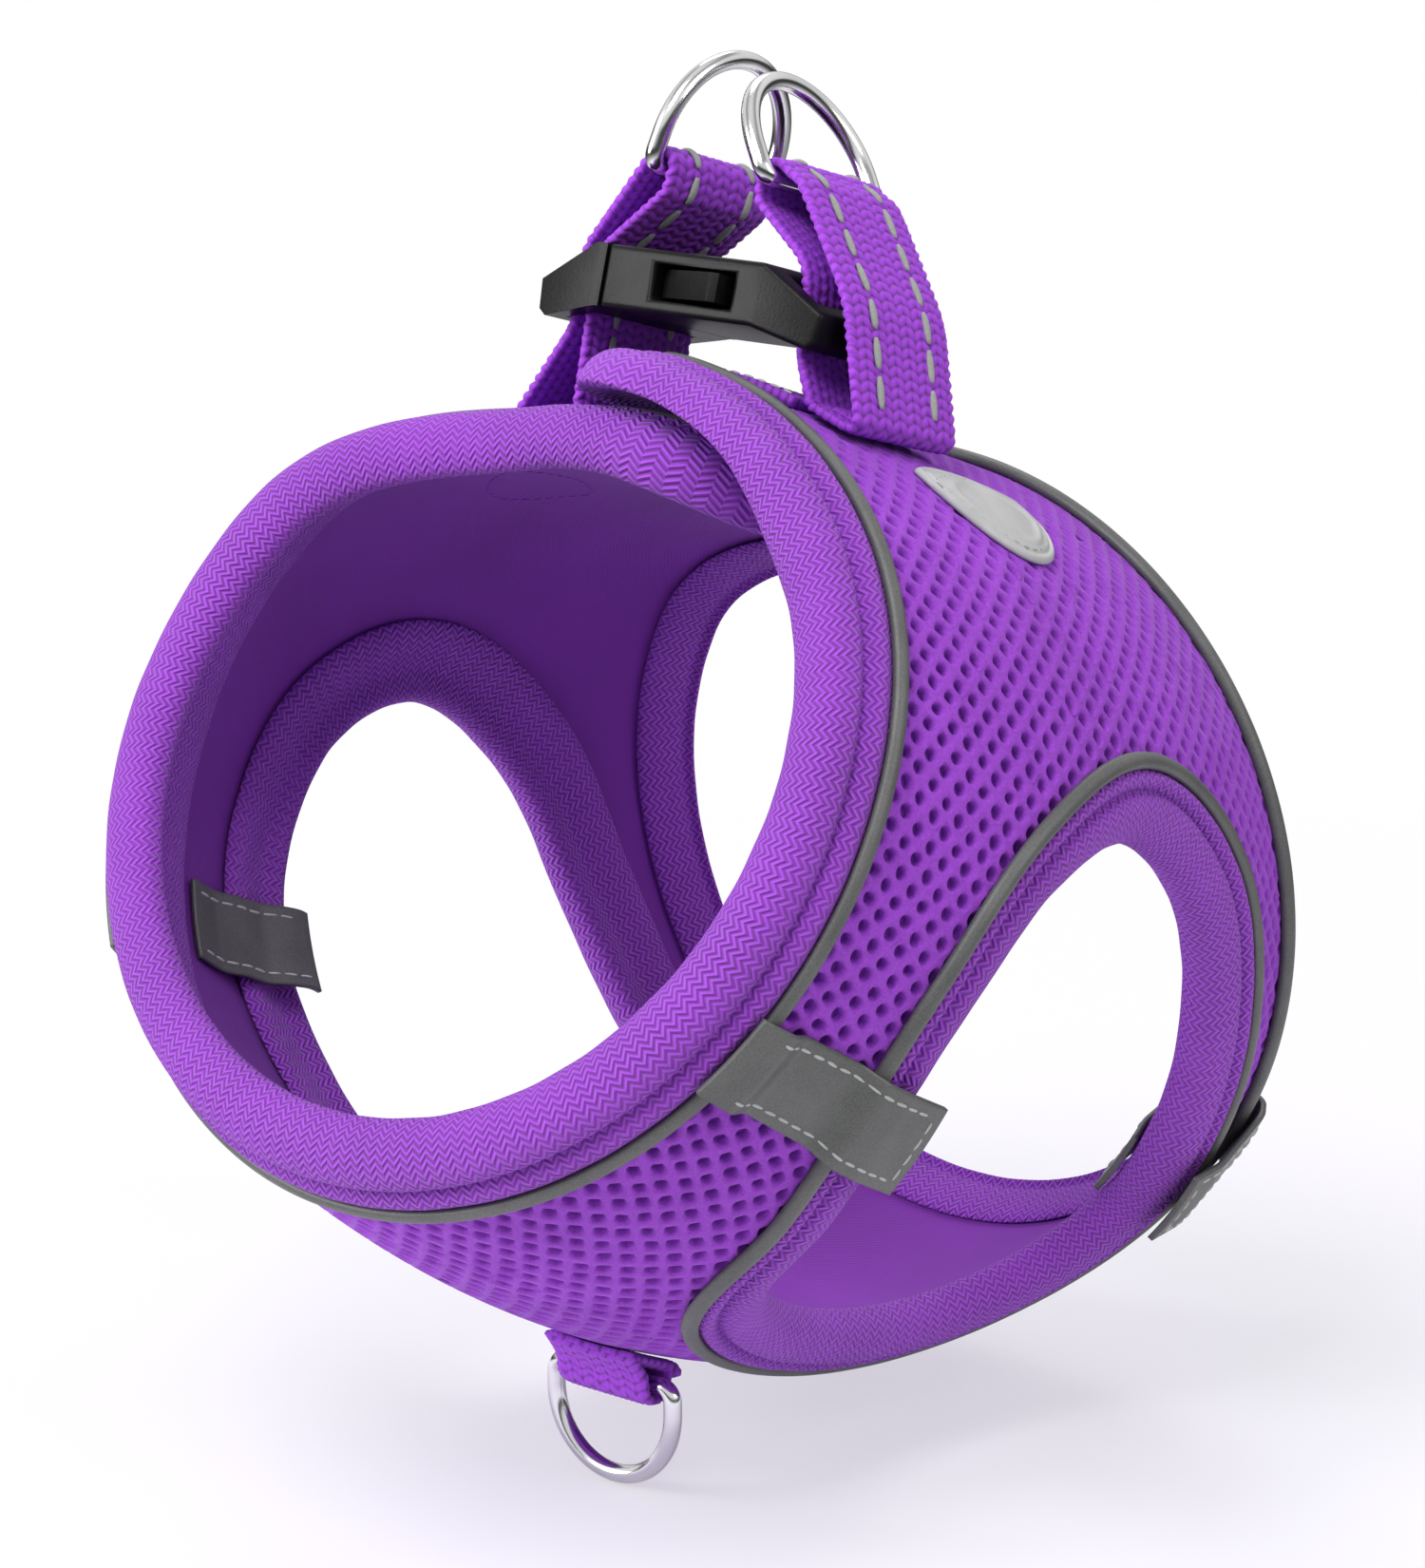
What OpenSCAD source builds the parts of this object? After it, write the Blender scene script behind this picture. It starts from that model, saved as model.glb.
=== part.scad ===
// Step-in vest harness for a small dog. The dog faces -Y, +X is its left side and +Z is up.
// The origin is the middle of the torso passage, halfway between the neck ring and the rear ring.
// The vest is one skin: angle g runs round the body in degrees (0 on the back, 90 on the dog's left,
// 180 on the belly, 360 on the back again) and v runs from the neck edge (0) to the rear edge (1).

/* [Vest] */
// Half width of the neck ring, side to side
neck_half_w = 57; // [50:0.5:66]
// Half height of the neck ring's lower half, in its own plane
neck_half_h = 56; // [48:0.5:66]
// How much lower the neck ring's crown is than a full oval
neck_flat = 3; // [0:0.5:5]
// Lean of the neck ring, its top towards the tail
neck_tilt = 30; // [20:1:36]
// Half width of the rear ring
rear_half_w = 53; // [46:0.5:64]
// Half height of the rear ring
rear_half_h = 54.5; // [46:0.5:64]
// Lean of the rear ring, its top towards the head
rear_tilt = 6; // [0:1:14]
// Distance from the neck ring's centre to the rear ring's centre, along Y
body_l = 93; // [78:1:112]
// Drop from the neck ring's centre to the rear ring's centre
body_drop = 29.5; // [20:0.5:36]
// Outward bow of the flanks between the two rings
side_bow = 8; // [4:0.5:10]
// Outward bow of the belly between the two rings
belly_bow = 20; // [14:0.5:24]
// Thickness of the outer air mesh
mesh_t = 2.2; // [1.6:0.1:2.6]
// Thickness of the smooth lining
lining_t = 0.8; // [0.5:0.1:1]

/* [Back closure] */
// How far the upper flap passes the middle of the back, in degrees
flap_over = 3; // [2:0.5:6]
// How far the lower flap passes the middle of the back, in degrees
flap_under = 20; // [17:1:23]
// Depth at which the lower flap is tucked below the upper one
tuck = 7.8; // [7.6:0.1:9]
// Thickness of each hook-and-loop patch
closure_t = 1.6; // [1.2:0.1:1.7]

/* [Leg openings] */
// Angle of each leg opening's middle, from the back
leg_g = 122; // [119:1:125]
// Place of each leg opening's middle between neck and rear edge
leg_v = 0.53; // [0.5:0.01:0.56]
// Size of the leg openings against their nominal outline
leg_scale = 1; // [0.82:0.01:1.04]

/* [Edging] */
// How far the neck edging stands out past its piping
neck_lip = 9.4; // [7.5:0.1:11.4]
// How far the leg edging stands into its opening
leg_lip = 8.6; // [7:0.1:10.4]
// Diameter of the reflective piping
piping_d = 2; // [1.6:0.1:2.4]

/* [Webbing and rings] */
// Width of the webbing
web_w = 20; // [16:0.5:24]
// Thickness of the webbing
web_t = 1.5; // [1.2:0.1:1.8]
// Wire diameter of the D-rings
ring_d = 2.4; // [2:0.1:2.9]
// Distance from the middle of the back to each leash ring's bar
fold_x = 9.3; // [8.6:0.1:11.2]
// Height of the leash rings' bars above the back
fold_h = 26; // [24:0.5:31]
// Reach of each leash ring from its bar to the far side of its wire
ring_reach = 17; // [15:0.5:22]
// Reach of the chest ring from its bar to the far side of its wire
chest_reach = 14.8; // [14:0.2:20]
// Lean of the left leash ring towards the middle
left_lean = 33; // [20:1:38]
// Lean of the right leash ring towards the middle
right_lean = 12; // [4:1:16]
// Width of the chest ring's tab
tab_w = 15; // [12:0.5:18]
// Drop from the belly to the chest ring's bar
chest_drop = 3.8; // [3.8:0.1:7]

/* [Buckle] */
// Width of the buckle, front to rear
buckle_w = 28; // [26:0.5:32]
// Thickness of the buckle's body
buckle_t = 8; // [7.6:0.1:9]
// Distance from the middle to each free end of the buckle
buckle_end = 22.8; // [22.6:0.1:25.5]
// Height of the buckle's middle above the back
buckle_h = 11.3; // [10.4:0.1:12.5]

/* [Hidden] */
purple = [0.42, 0.13, 0.66];
deep_purple = [0.36, 0.10, 0.55];
grey = [0.42, 0.43, 0.42];
gap = 0.3;                      // clearance between soft pieces that lie on each other
layer_gap = 0.2;                // gap between mesh and lining
skin_t = mesh_t + layer_gap + lining_t;
tuck_from = 60;                 // angle from the back at which the lower flap starts to dip
tuck_full = 12;                 // angle from the back at which it is fully tucked
corner_g = 12;                  // corner radii of the flaps, in degrees and in v
corner_v = 0.2;
// Leg opening's radius from its middle, every 30 degrees from the top, going rearwards
leg_radii = [50.5, 47, 38, 35.5, 41, 47, 48.5, 48, 37, 34.5, 38, 46];
mm_per_deg = (neck_half_w + rear_half_w + 2 * side_bow) * PI / 360;
mm_per_v = norm([body_l, body_drop]);

function unit(p) = p / norm(p);
function smooth(x) = let (t = min(1, max(0, x))) t * t * (3 - 2 * t);
function mix(a, b, t) = a * (1 - t) + b * t;

// ---- the skin -------------------------------------------------------------------------------

function neck_h_at(g) = neck_half_h - neck_flat * smooth(cos(g));
function neck_at(g) = [
    neck_half_w * sin(g),
    -body_l / 2 + neck_h_at(g) * cos(g) * sin(neck_tilt),
    body_drop / 2 + neck_h_at(g) * cos(g) * cos(neck_tilt)
];
function rear_at(g) = [
    rear_half_w * sin(g),
    body_l / 2 - rear_half_h * cos(g) * sin(rear_tilt),
    -body_drop / 2 + rear_half_h * cos(g) * cos(rear_tilt)
];
function bow_at(g, v) =
    let (belly = max(0, -cos(g)) * max(0, -cos(g)))
    (side_bow * sin(g) * sin(g) + belly_bow * belly) * 4 * v * (1 - v);
function tuck_at(g) = smooth((g - 360 + tuck_from) / (tuck_from - tuck_full));
function radial(g) = [sin(g), 0, cos(g)];
function skin(g, v) =
    mix(neck_at(g), rear_at(g), v) + radial(g) * (bow_at(g, v) - tuck * tuck_at(g));
function skin_g(g, v) = unit(skin(g + 0.5, v) - skin(g - 0.5, v));
function skin_v(g, v) = unit(skin(g, v + 0.01) - skin(g, v - 0.01));
function skin_n(g, v) = unit(cross(skin_g(g, v), skin_v(g, v)));
function over_skin(q, t) = skin(q[0], q[1]) + skin_n(q[0], q[1]) * t;

// ---- outlines on the skin, as [g, v] ----------------------------------------------------------

function wrapped(list, i) = list[(i % len(list) + len(list)) % len(list)];
function spline(a, b, c, d, t) =
    0.5 * (2 * b + (c - a) * t + (2 * a - 5 * b + 4 * c - d) * t * t + (3 * b - a - 3 * c + d) * t * t * t);
function leg_radius(a) =
    let (x = a / 30, i = floor(x))
    leg_scale * spline(wrapped(leg_radii, i - 1), wrapped(leg_radii, i), wrapped(leg_radii, i + 1),
        wrapped(leg_radii, i + 2), x - i);
// Point at angle a round the left leg opening; a is 0 towards the back and 90 towards the rear
function leg_point(a) = [
    leg_g - leg_radius(a) * cos(a) / mm_per_deg,
    leg_v + leg_radius(a) * sin(a) / mm_per_v
];
function other_side(q) = [360 - q[0], q[1]];

// Half of the skin is a ring of cells round the leg opening and a grid of cells from there to the
// flap's end. The ring's outer row starts at the neck edge's corner and turns clockwise
ring_g = 62;                    // angle at which the ring meets the grid
ring_rows = 4;
ring_v = 10;                    // cells of the ring across the neck-to-rear length
ring_f = 13;                    // cells of the ring along each edge
grid_flank = 8;
corner_steps = 5;
ring_n = 2 * (ring_v + ring_f);
function ring_outer(i) =
    i < ring_v ? [ring_g, i / ring_v]
    : i < ring_v + ring_f ? [mix(ring_g, 180, (i - ring_v) / ring_f), 1]
    : i < 2 * ring_v + ring_f ? [180, 1 - (i - ring_v - ring_f) / ring_v]
    : [mix(180, ring_g, (i - 2 * ring_v - ring_f) / ring_f), 0];
function leg_towards(q) = leg_point(atan2((q[1] - leg_v) * mm_per_v, (leg_g - q[0]) * mm_per_deg));
left_leg_line = [for (i = [0 : ring_n - 1]) leg_towards(ring_outer(i))];
right_leg_line = [for (i = [ring_n - 1 : -1 : 0]) other_side(left_leg_line[i])];

function turn(i) = 90 * i / corner_steps;
function corner_row_g(end_g, i) = end_g + corner_g * (1 - sin(turn(i)));
function corner_row_v(i) = corner_v * (1 - cos(turn(i)));
// The grid's rows as [g, v at the neck side, v at the rear side]
function grid_rows(end_g) = concat(
    [for (i = [1 : grid_flank]) [mix(ring_g, end_g + corner_g, i / grid_flank), 0, 1]],
    [for (i = [1 : corner_steps]) [corner_row_g(end_g, i), corner_row_v(i), 1 - corner_row_v(i)]]
);
function half_points(end_g) = concat(
    [for (r = [0 : ring_rows], i = [0 : ring_n - 1])
        mix(ring_outer(i), left_leg_line[i], r / ring_rows)],
    [for (q = grid_rows(end_g), i = [0 : ring_v]) [q[0], mix(q[1], q[2], i / ring_v)]]
);
left_points = half_points(-flap_over);
right_points = [for (q = half_points(-flap_under)) other_side(q)];
half_n = len(left_points);
grid_n = grid_flank + corner_steps;
function ring_i(r, c) = r * ring_n + c % ring_n;
function grid_i(k, i) = k == 0 ? i : (ring_rows + 1) * ring_n + (k - 1) * (ring_v + 1) + i;
// The right half's own points follow the left half's, and the two share the belly line
function right_i(i) = i >= ring_v + ring_f && i <= 2 * ring_v + ring_f ? i : i + half_n;

// The edge of half of the skin, from the split in the flap's end to the belly line
end_split = 0.5;                // v at which the neck and rear edgings meet on the flaps' ends
split_gap = 0.004;
function half_edge(end_g, v, inward) = concat(
    [[end_g, end_split - inward * split_gap]],
    [for (i = [corner_steps : -1 : 1]) [corner_row_g(end_g, i), v + inward * corner_row_v(i)]],
    [for (i = [grid_flank : -1 : 1]) [mix(ring_g, end_g + corner_g, i / grid_flank), v]],
    [for (i = [0 : ring_f]) [mix(ring_g, 180, i / ring_f), v]]
);
function reversed(list) = [for (i = [len(list) - 1 : -1 : 0]) list[i]];
function tail(list) = [for (i = [1 : len(list) - 1]) list[i]];
function whole_edge(v, inward) = concat(
    half_edge(-flap_over, v, inward),
    [for (q = tail(reversed(half_edge(-flap_under, v, inward)))) other_side(q)]
);
neck_line = whole_edge(0, 1);
rear_line = reversed(whole_edge(1, -1));

// ---- solids that follow the skin ----------------------------------------------------------------

function flipped(faces) = [for (f = faces) reversed(f)];
function cell(a, b, c, d) = [[a, b, c], [a, c, d]];
function wall(path, shift) = [
    for (i = [0 : len(path) - 2])
        each cell(path[i + 1], path[i], path[i] + shift, path[i + 1] + shift)
];
function half_faces() = concat(
    [for (r = [0 : ring_rows - 1], c = [0 : ring_n - 1])
        each cell(ring_i(r, c), ring_i(r, c + 1), ring_i(r + 1, c + 1), ring_i(r + 1, c))],
    [for (k = [0 : grid_n - 1], i = [0 : ring_v - 1])
        each cell(grid_i(k, i), grid_i(k + 1, i), grid_i(k + 1, i + 1), grid_i(k, i + 1))]
);
function half_rim() = concat(
    [for (c = [2 * ring_v + ring_f : ring_n - 1]) c],
    [for (k = [0 : grid_n]) grid_i(k, 0)],
    [for (i = [1 : ring_v]) grid_i(grid_n, i)],
    [for (k = [grid_n - 1 : -1 : 0]) grid_i(k, ring_v)],
    [for (c = [ring_v + 1 : ring_v + ring_f]) c]
);
function hole_rim() = [for (c = [ring_n : -1 : 0]) ring_i(ring_rows, c)];
function to_right(lists) = [for (l = lists) [for (i = reversed(l)) right_i(i)]];

// The whole vest as one solid, from height t0 to height t1 above the skin
module vest_layer(t0, t1) {
    all = concat(left_points, right_points);
    n = len(all);
    top = concat(half_faces(), to_right(half_faces()));
    rims = [half_rim(), hole_rim(), to_right([half_rim()])[0], to_right([hole_rim()])[0]];
    polyhedron(
        points = concat([for (q = all) over_skin(q, t1)], [for (q = all) over_skin(q, t0)]),
        faces = concat(top, [for (f = flipped(top)) f + [n, n, n]], [for (rim = rims) each wall(rim, n)])
    );
}

// A strip over rows of [g, v, lift] points, t thick. Rows run along +g and their points along +v
module strip(rows, t) {
    m = len(rows);
    k = len(rows[0]);
    all = [for (row = rows) each row];
    n = m * k;
    top = [for (r = [0 : m - 2], c = [0 : k - 2])
        each cell(r * k + c, r * k + c + 1, (r + 1) * k + c + 1, (r + 1) * k + c)];
    rim = concat(
        [for (c = [0 : k - 1]) c],
        [for (r = [1 : m - 1]) r * k + k - 1],
        [for (c = [k - 2 : -1 : 0]) (m - 1) * k + c],
        [for (r = [m - 2 : -1 : 0]) r * k]
    );
    polyhedron(
        points = concat([for (q = all) over_skin(q, q[2] + t)], [for (q = all) over_skin(q, q[2])]),
        faces = concat(top, [for (f = flipped(top)) f + [n, n, n]], wall(rim, n))
    );
}

// Direction in the skin that points off the fabric, to the right of the line's travel
function off_edge(line, i, closed) =
    let (n = len(line),
        a = line[closed ? (i + n - 1) % n : max(0, i - 1)],
        b = line[closed ? (i + 1) % n : min(n - 1, i + 1)],
        along = unit(over_skin(b, 0) - over_skin(a, 0)))
    unit(cross(along, skin_n(line[i][0], line[i][1])));

// Sweeps a profile along a line on the skin. A profile point is [distance off the edge, height]
module edging(line, profiles, closed, cap) {
    n = len(line);
    m = len(profiles[0]);
    points = [for (i = [0 : n - 1])
        let (f = off_edge(line, i, closed), up = skin_n(line[i][0], line[i][1]), p = over_skin(line[i], 0))
        for (q = profiles[i]) p + f * q[0] + up * q[1]];
    sides = [for (i = [0 : n - (closed ? 1 : 2)], j = [0 : m - 1])
        let (i1 = (i + 1) % n, j1 = (j + 1) % m)
        each cell(i * m + j, i1 * m + j, i1 * m + j1, i * m + j1)];
    far = (n - 1) * m;
    caps = closed ? [] : concat(cap, [for (f = flipped(cap)) f + [far, far, far]]);
    polyhedron(points = points, faces = concat(sides, caps));
}

// Padded edging: a lip that curls inwards past the edge, and a flange on the lining
curl_from = skin_t + 1;
function curled(h, curl) = h < -curl_from ? -curl_from + (h + curl_from) * curl : h;
function lip_profile(lip, drop, flange, curl) = [
    for (q = [
        [gap, 0.7], [lip * 0.32, 1.1], [lip * 0.68, 0.1], [lip * 0.94, -drop * 0.38], [lip, -drop * 0.75],
        [lip * 0.9, -drop], [lip * 0.7, -drop * 0.93], [lip * 0.5, -drop * 0.7], [lip * 0.2, -skin_t - 1.6],
        [-flange, -skin_t - 1.5], [-flange, -skin_t - gap - 0.4], [gap, -skin_t - gap]
    ]) [q[0], curled(q[1], curl)]
];
lip_cap = [
    [8, 9, 10], [8, 10, 11], [8, 11, 0], [8, 0, 1], [8, 1, 7],
    [7, 1, 2], [7, 2, 6], [6, 2, 3], [6, 3, 5], [5, 3, 4]
];
pipe_sides = 8;
pipe_in = 1.2;                  // distance from the edge back to the piping's middle
pipe_profile = [
    for (i = [0 : pipe_sides - 1])
        let (a = 22.5 - 360 * i / pipe_sides)
        [piping_d / 2 * cos(a) - pipe_in, piping_d / 2 * (1 + sin(a)) + gap]
];
pipe_cap = [for (i = [1 : pipe_sides - 2]) [0, i, i + 1]];
neck_drop = 7.6;
leg_drop = 6.2;
rear_lip = 3;
rear_drop = 5.6;
neck_flange = 6;
leg_flange = 3.5;
rear_flange = 5.5;
flat_curl = 0.1;                // the upper flap's edging stays flat over the lower flap
function flap_curl(g) = mix(flat_curl, 1, smooth((g - 22) / 26));

module neck_edging() {
    profiles = [for (q = neck_line) lip_profile(neck_lip, neck_drop, neck_flange, flap_curl(q[0]))];
    edging(neck_line, profiles, false, lip_cap);
}
module rear_edging() {
    profiles = [for (q = rear_line) lip_profile(rear_lip, rear_drop, rear_flange, flap_curl(q[0]))];
    edging(rear_line, profiles, false, lip_cap);
}
module leg_edging(line) {
    profiles = [for (q = line) lip_profile(leg_lip, leg_drop, leg_flange, 1)];
    edging(line, profiles, true, []);
}
module piping(line, closed) {
    edging(line, [for (q = line) pipe_profile], closed, pipe_cap);
}

// ---- pieces sewn on the vest -------------------------------------------------------------------------

over_piping = gap + piping_d + gap;
side_list = [1, -1];
function mirrored_rows(rows) = [for (row = reversed(rows)) [for (q = row) [360 - q[0], q[1], q[2]]]];
module both(rows, t, left) {
    strip(left ? rows : mirrored_rows(rows), t);
}

band_w = 11.5;                  // reflective band, in degrees
band_g = 114;
band_skew = 4.5;                // how far the band turns downwards towards the rear
band_stops = [
    [-0.035, 1.5], [0, over_piping], [0.03, over_piping], [0.055, gap], [0.14, gap], [0.165, over_piping],
    [0.2, over_piping], [0.265, 1.5]
];
band_rows = [
    for (i = [0 : 3])
        [for (s = band_stops) [band_g + band_w * i / 3 + band_skew * s[0] / 0.265, s[0], s[1]]]
];
// The tab behind each leg opening wraps the strip: over it, round the rear edge and back inside
tab_t = 0.8;
tab_outer = [
    [-18.6, 2.2], [-13, 3.5], [-8, 3.5], [1, 3.5], [3.7, 2.4], [4.5, 0], [4.5, -4.4], [3.4, -7], [1, -7.8],
    [-8, -8], [-14, -8.6], [-18.6, -8.2]
];
tab_inner = [
    [-18.6, 2.2 - tab_t], [-13, 3.5 - tab_t], [-8, 3.5 - tab_t], [0.9, 3.5 - tab_t], [3.1, 1.9], [3.7, 0],
    [3.7, -4.2], [2.9, -6.4], [0.9, -7.8 + tab_t], [-8, -8 + tab_t],
    [-14, -8.6 + tab_t], [-18.6, -8.2 + tab_t]
];
tab_k = len(tab_outer);
tab_cap = [
    for (i = [0 : tab_k - 2])
        each cell(i, i + 1, 2 * tab_k - 2 - i, 2 * tab_k - 1 - i)
];
tab_line = [for (i = [6 : -1 : 0]) [121.5 + 12.5 * i / 6, 1]];
right_tab_line = [for (q = reversed(tab_line)) other_side(q)];
module strip_tab(line) {
    profile = concat(tab_outer, reversed(tab_inner));
    edging(line, [for (q = line) profile], false, tab_cap);
}

badge_at = [35, 0.275];        // front corner of the badge's upper edge
badge_l = 0.28;                 // length of the badge along v
badge_w = 13.5;                 // width of the badge in degrees
badge_steps = 8;
badge_rows = [
    for (i = [0 : 4])
        [for (k = [0 : badge_steps])
            let (s = k / badge_steps, x = 2 * s - 1, bulge = sqrt(max(0, 1.04 - x * x)),
                g = badge_at[0] + 2 * s + bulge * (badge_w * i / 4 - 3 * (1 - i / 4)))
            [g, badge_at[1] + badge_l * s, gap]]
];
closure_rows = [
    for (g = [4, 7, 10, 13])
        [for (v = [0.2, 0.35, 0.5, 0.65, 0.8]) [g, v, 0]]
];
module hook_pad() {
    strip([for (row = closure_rows) [for (q = row) [q[0], q[1], -skin_t - gap - closure_t]]], closure_t);
}
module loop_pad() {
    strip([for (row = closure_rows) [for (q = row) [q[0] + 360, q[1], gap / 2]]], closure_t);
}

hw_v = 0.29;                    // v of the middle of the hardware
strap_v = web_w / norm(rear_at(0) - neck_at(0)) / 2;
module base_strap() {
    strip([
        for (g = [1 : 3 : 19])
            [for (s = [-1, -0.5, 0, 0.5, 1]) [g, hw_v + strap_v * s, gap]]
    ], web_t);
}

// ---- hardware on the back, in its own frame: x sideways, y along the back, z off the back ----------

hw_tilt = 16;                   // the hardware frame's slope towards the tail
hw_at = skin(0, hw_v);
hw_up = [0, sin(hw_tilt), cos(hw_tilt)];
module on_back() {
    translate(hw_at) rotate([-hw_tilt, 0, 0]) children();
}
// Height in the hardware frame of a point on the skin, and its sideways place
function hw_point(g, lift) = let (p = over_skin([g, hw_v], lift) - hw_at) [p[0], p * hw_up];

function normal2(d) = [d[1], -d[0]];
function offset_loop(path, t) = [
    for (i = [0 : len(path) - 1])
        let (n = len(path), a = unit(path[i] - path[(i + n - 1) % n]),
            b = unit(path[(i + 1) % n] - path[i]), m = unit(normal2(a) + normal2(b)))
        path[i] + m * t / (m * normal2(a))
];
// A closed band of webbing along a clockwise path
module closed_band(path, t) {
    difference() {
        polygon(offset_loop(path, -t / 2));
        polygon(offset_loop(path, t / 2));
    }
}
bar_gap = 0.2;                  // clearance of a ring's bar inside its fold
fold_r = ring_d / 2 + bar_gap + web_t / 2;
slot_x = [15.2, 19.8];          // the webbing slot in each end of the buckle
// Path of a webbing loop on the left side: up the outer leg, over the ring's bar, down the slot
function loop_path(base_out, base_in) = concat(
    [base_in, base_out, [buckle_end + 1.2, buckle_h + 1], [fold_x + 4.4, fold_h + 2.2 - fold_r]],
    [for (a = [35 : 29 : 180]) [fold_x + fold_r * cos(a), fold_h + fold_r * sin(a)]],
    [[fold_x - fold_r + 0.4, fold_h - 3], [slot_x[0] + 2, buckle_h + 4.6],
        [slot_x[0] + 2.8, buckle_h - 6]]
);
// Path of the right loop, drawn on the left side: both of its legs go through the slot
slot_out = slot_x[1] - gap - web_t / 2;
slot_in = slot_x[0] + gap + web_t / 2;
slot_top = buckle_h + 3.6;
slot_foot = buckle_h - 6.7;
function slot_path(base_out, base_in) = concat(
    [base_in, base_out, [slot_out, slot_foot], [slot_out, slot_top]],
    [for (a = [29 : 30.2 : 180]) [fold_x + fold_r * cos(a), fold_h + fold_r * sin(a)]],
    [[fold_x - fold_r + 0.4, fold_h - 3], [slot_in, slot_top], [slot_in, slot_foot]]
);
base_lift = gap + web_t / 2 + 0.7;
foot_h = 3.6;                   // height at which the right loop leaves its sewn foot
// The part of a loop between two heights; the right loop's foot stays with the vest
module ring_loop(path, from_h = -40, to_h = 60) {
    on_back() rotate([90, 0, 0]) linear_extrude(web_w, center = true)
        intersection() {
            closed_band(reversed(path), web_t);
            translate([0, from_h]) square([60, to_h - from_h]);
        }
}
left_base_out = hw_point(30, base_lift);
left_base_in = hw_point(21.5, base_lift);
right_base_out = hw_point(330.5, base_lift);
right_base_in = hw_point(341.5, base_lift);
function flip_x(p) = [-p[0], p[1]];

bartack_l = 4;
bartack_t = 0.6;
// A bar of stitching across a loop's base, at a share of the way from its outer end
module bartack(base_out, base_in, share) {
    d = unit(base_in - base_out);
    up = [d[1], -d[0]];
    mid = base_out + d * norm(base_in - base_out) * share + (up[1] > 0 ? up : -up) * (web_t / 2 + 0.15);
    on_back() translate([mid[0], 0, mid[1]]) rotate([0, -atan2(d[1], d[0]), 0])
        translate([-bartack_l / 2, -web_w * 0.42, 0]) mirror([0, 0, d[0] < 0 ? 1 : 0])
            cube([bartack_l, web_w * 0.84, bartack_t]);
}

// A D-ring with its bar along y and its arc towards +z
ring_r = web_w / 2 + 0.3 + ring_d / 2;
chest_ring_r = tab_w / 2 + 1.2 + ring_d / 2;
module d_ring(r, reach) {
    leg = reach - ring_d / 2 - r;
    rotate([90, 0, 0]) cylinder(h = 2 * r, d = ring_d, center = true, $fn = 48);
    for (s = side_list) {
        translate([0, s * r, 0]) cylinder(h = leg, d = ring_d, $fn = 48);
        translate([0, s * r, 0]) sphere(d = ring_d, $fn = 48);
    }
    translate([0, 0, leg]) rotate([90, 0, 90]) rotate_extrude(angle = 180, $fn = 96)
        translate([r, 0]) circle(d = ring_d, $fn = 48);
}
module leash_ring(side, lean) {
    on_back() translate([side * fold_x, 0, fold_h]) rotate([0, -side * lean, 0]) d_ring(ring_r, ring_reach);
}

// ---- the chest ring ---------------------------------------------------------------------------------

chest_v = 0.39;
chest_skin = skin(180, chest_v);
chest_bar = chest_skin + [0, 0, -chest_drop];
chest_r = ring_d / 2 + bar_gap + web_t / 2;
chest_slope = (skin(180, chest_v + 0.02) - skin(180, chest_v - 0.02));
chest_fall = chest_slope[2] / chest_slope[1];
function chest_top(dy) = [dy, chest_drop - gap - web_t / 2 - 0.5 + dy * chest_fall];
chest_path = concat(
    [chest_top(-4.6), chest_top(4.6)],
    [for (a = [20 : -27.5 : -200]) [chest_r * cos(a), chest_r * sin(a)]]
);
module chest_tab() {
    translate(chest_bar) rotate([90, 0, 90]) linear_extrude(tab_w, center = true)
        closed_band(chest_path, web_t);
}

// ---- the buckle, plug on the right side and socket on the left ------------------------------------------

seam_x = -11.6;                 // face at which plug and socket meet
fit = 0.2;                      // clearance between the buckle's sliding faces
shoulder_x = 13.5;
end_slope = 30;
end_t = 4.6;
wall_t = 1.7;
cavity_h = buckle_t - 2 * wall_t;
cavity_w = buckle_w - 2 * 3.4;
cavity_x = 10.6;
window_x = [-3.6, 9.2];
guide_t = cavity_h - 2 * fit;
arm_t = 3.6;
pin_d = 1.6;
pin_fit = 0.05;                 // radial clearance of the latch arms' pins
pin_x = seam_x - 1.4;
pin_y = 7.8;
eye_d = 3.4;
arm_in = 7.2;                   // inner face of an arm's springy bar
arm_out = 9;
pad_x = 8.1;                    // tip of each arm's thumb pad
pad_profile = [
    [-5, arm_in], [pad_x, arm_in + 0.6], [pad_x, 14.3], [pad_x - 1.2, 14.6],
    [-3.3, 12], [-3.3, arm_out], [-5, arm_out]
];
guide_w = 6;
side_profile = [
    [seam_x, buckle_t / 2], [shoulder_x, buckle_t / 2],
    [buckle_end, buckle_t / 2 - (buckle_end - shoulder_x) * tan(end_slope)],
    [buckle_end - 0.4, buckle_t / 2 - (buckle_end - shoulder_x) * tan(end_slope) - end_t + 0.8],
    [buckle_end - 1.6, buckle_t / 2 - (buckle_end - shoulder_x) * tan(end_slope) - end_t],
    [shoulder_x - 1, -buckle_t / 2], [seam_x, -buckle_t / 2]
];
plan_profile = [
    [seam_x, -buckle_w / 2], [shoulder_x, -buckle_w / 2], [buckle_end, -buckle_w / 2 + 1.4],
    [buckle_end, buckle_w / 2 - 1.4], [shoulder_x, buckle_w / 2], [seam_x, buckle_w / 2]
];
module buckle_block() {
    intersection() {
        rotate([90, 0, 0]) linear_extrude(buckle_w, center = true) polygon(side_profile);
        translate([0, 0, -20]) linear_extrude(40) polygon(plan_profile);
    }
}
module web_slot() {
    translate([slot_x[0], -web_w / 2 - gap, -20]) cube([slot_x[1] - slot_x[0], web_w + 2 * gap, 40]);
}
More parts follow.
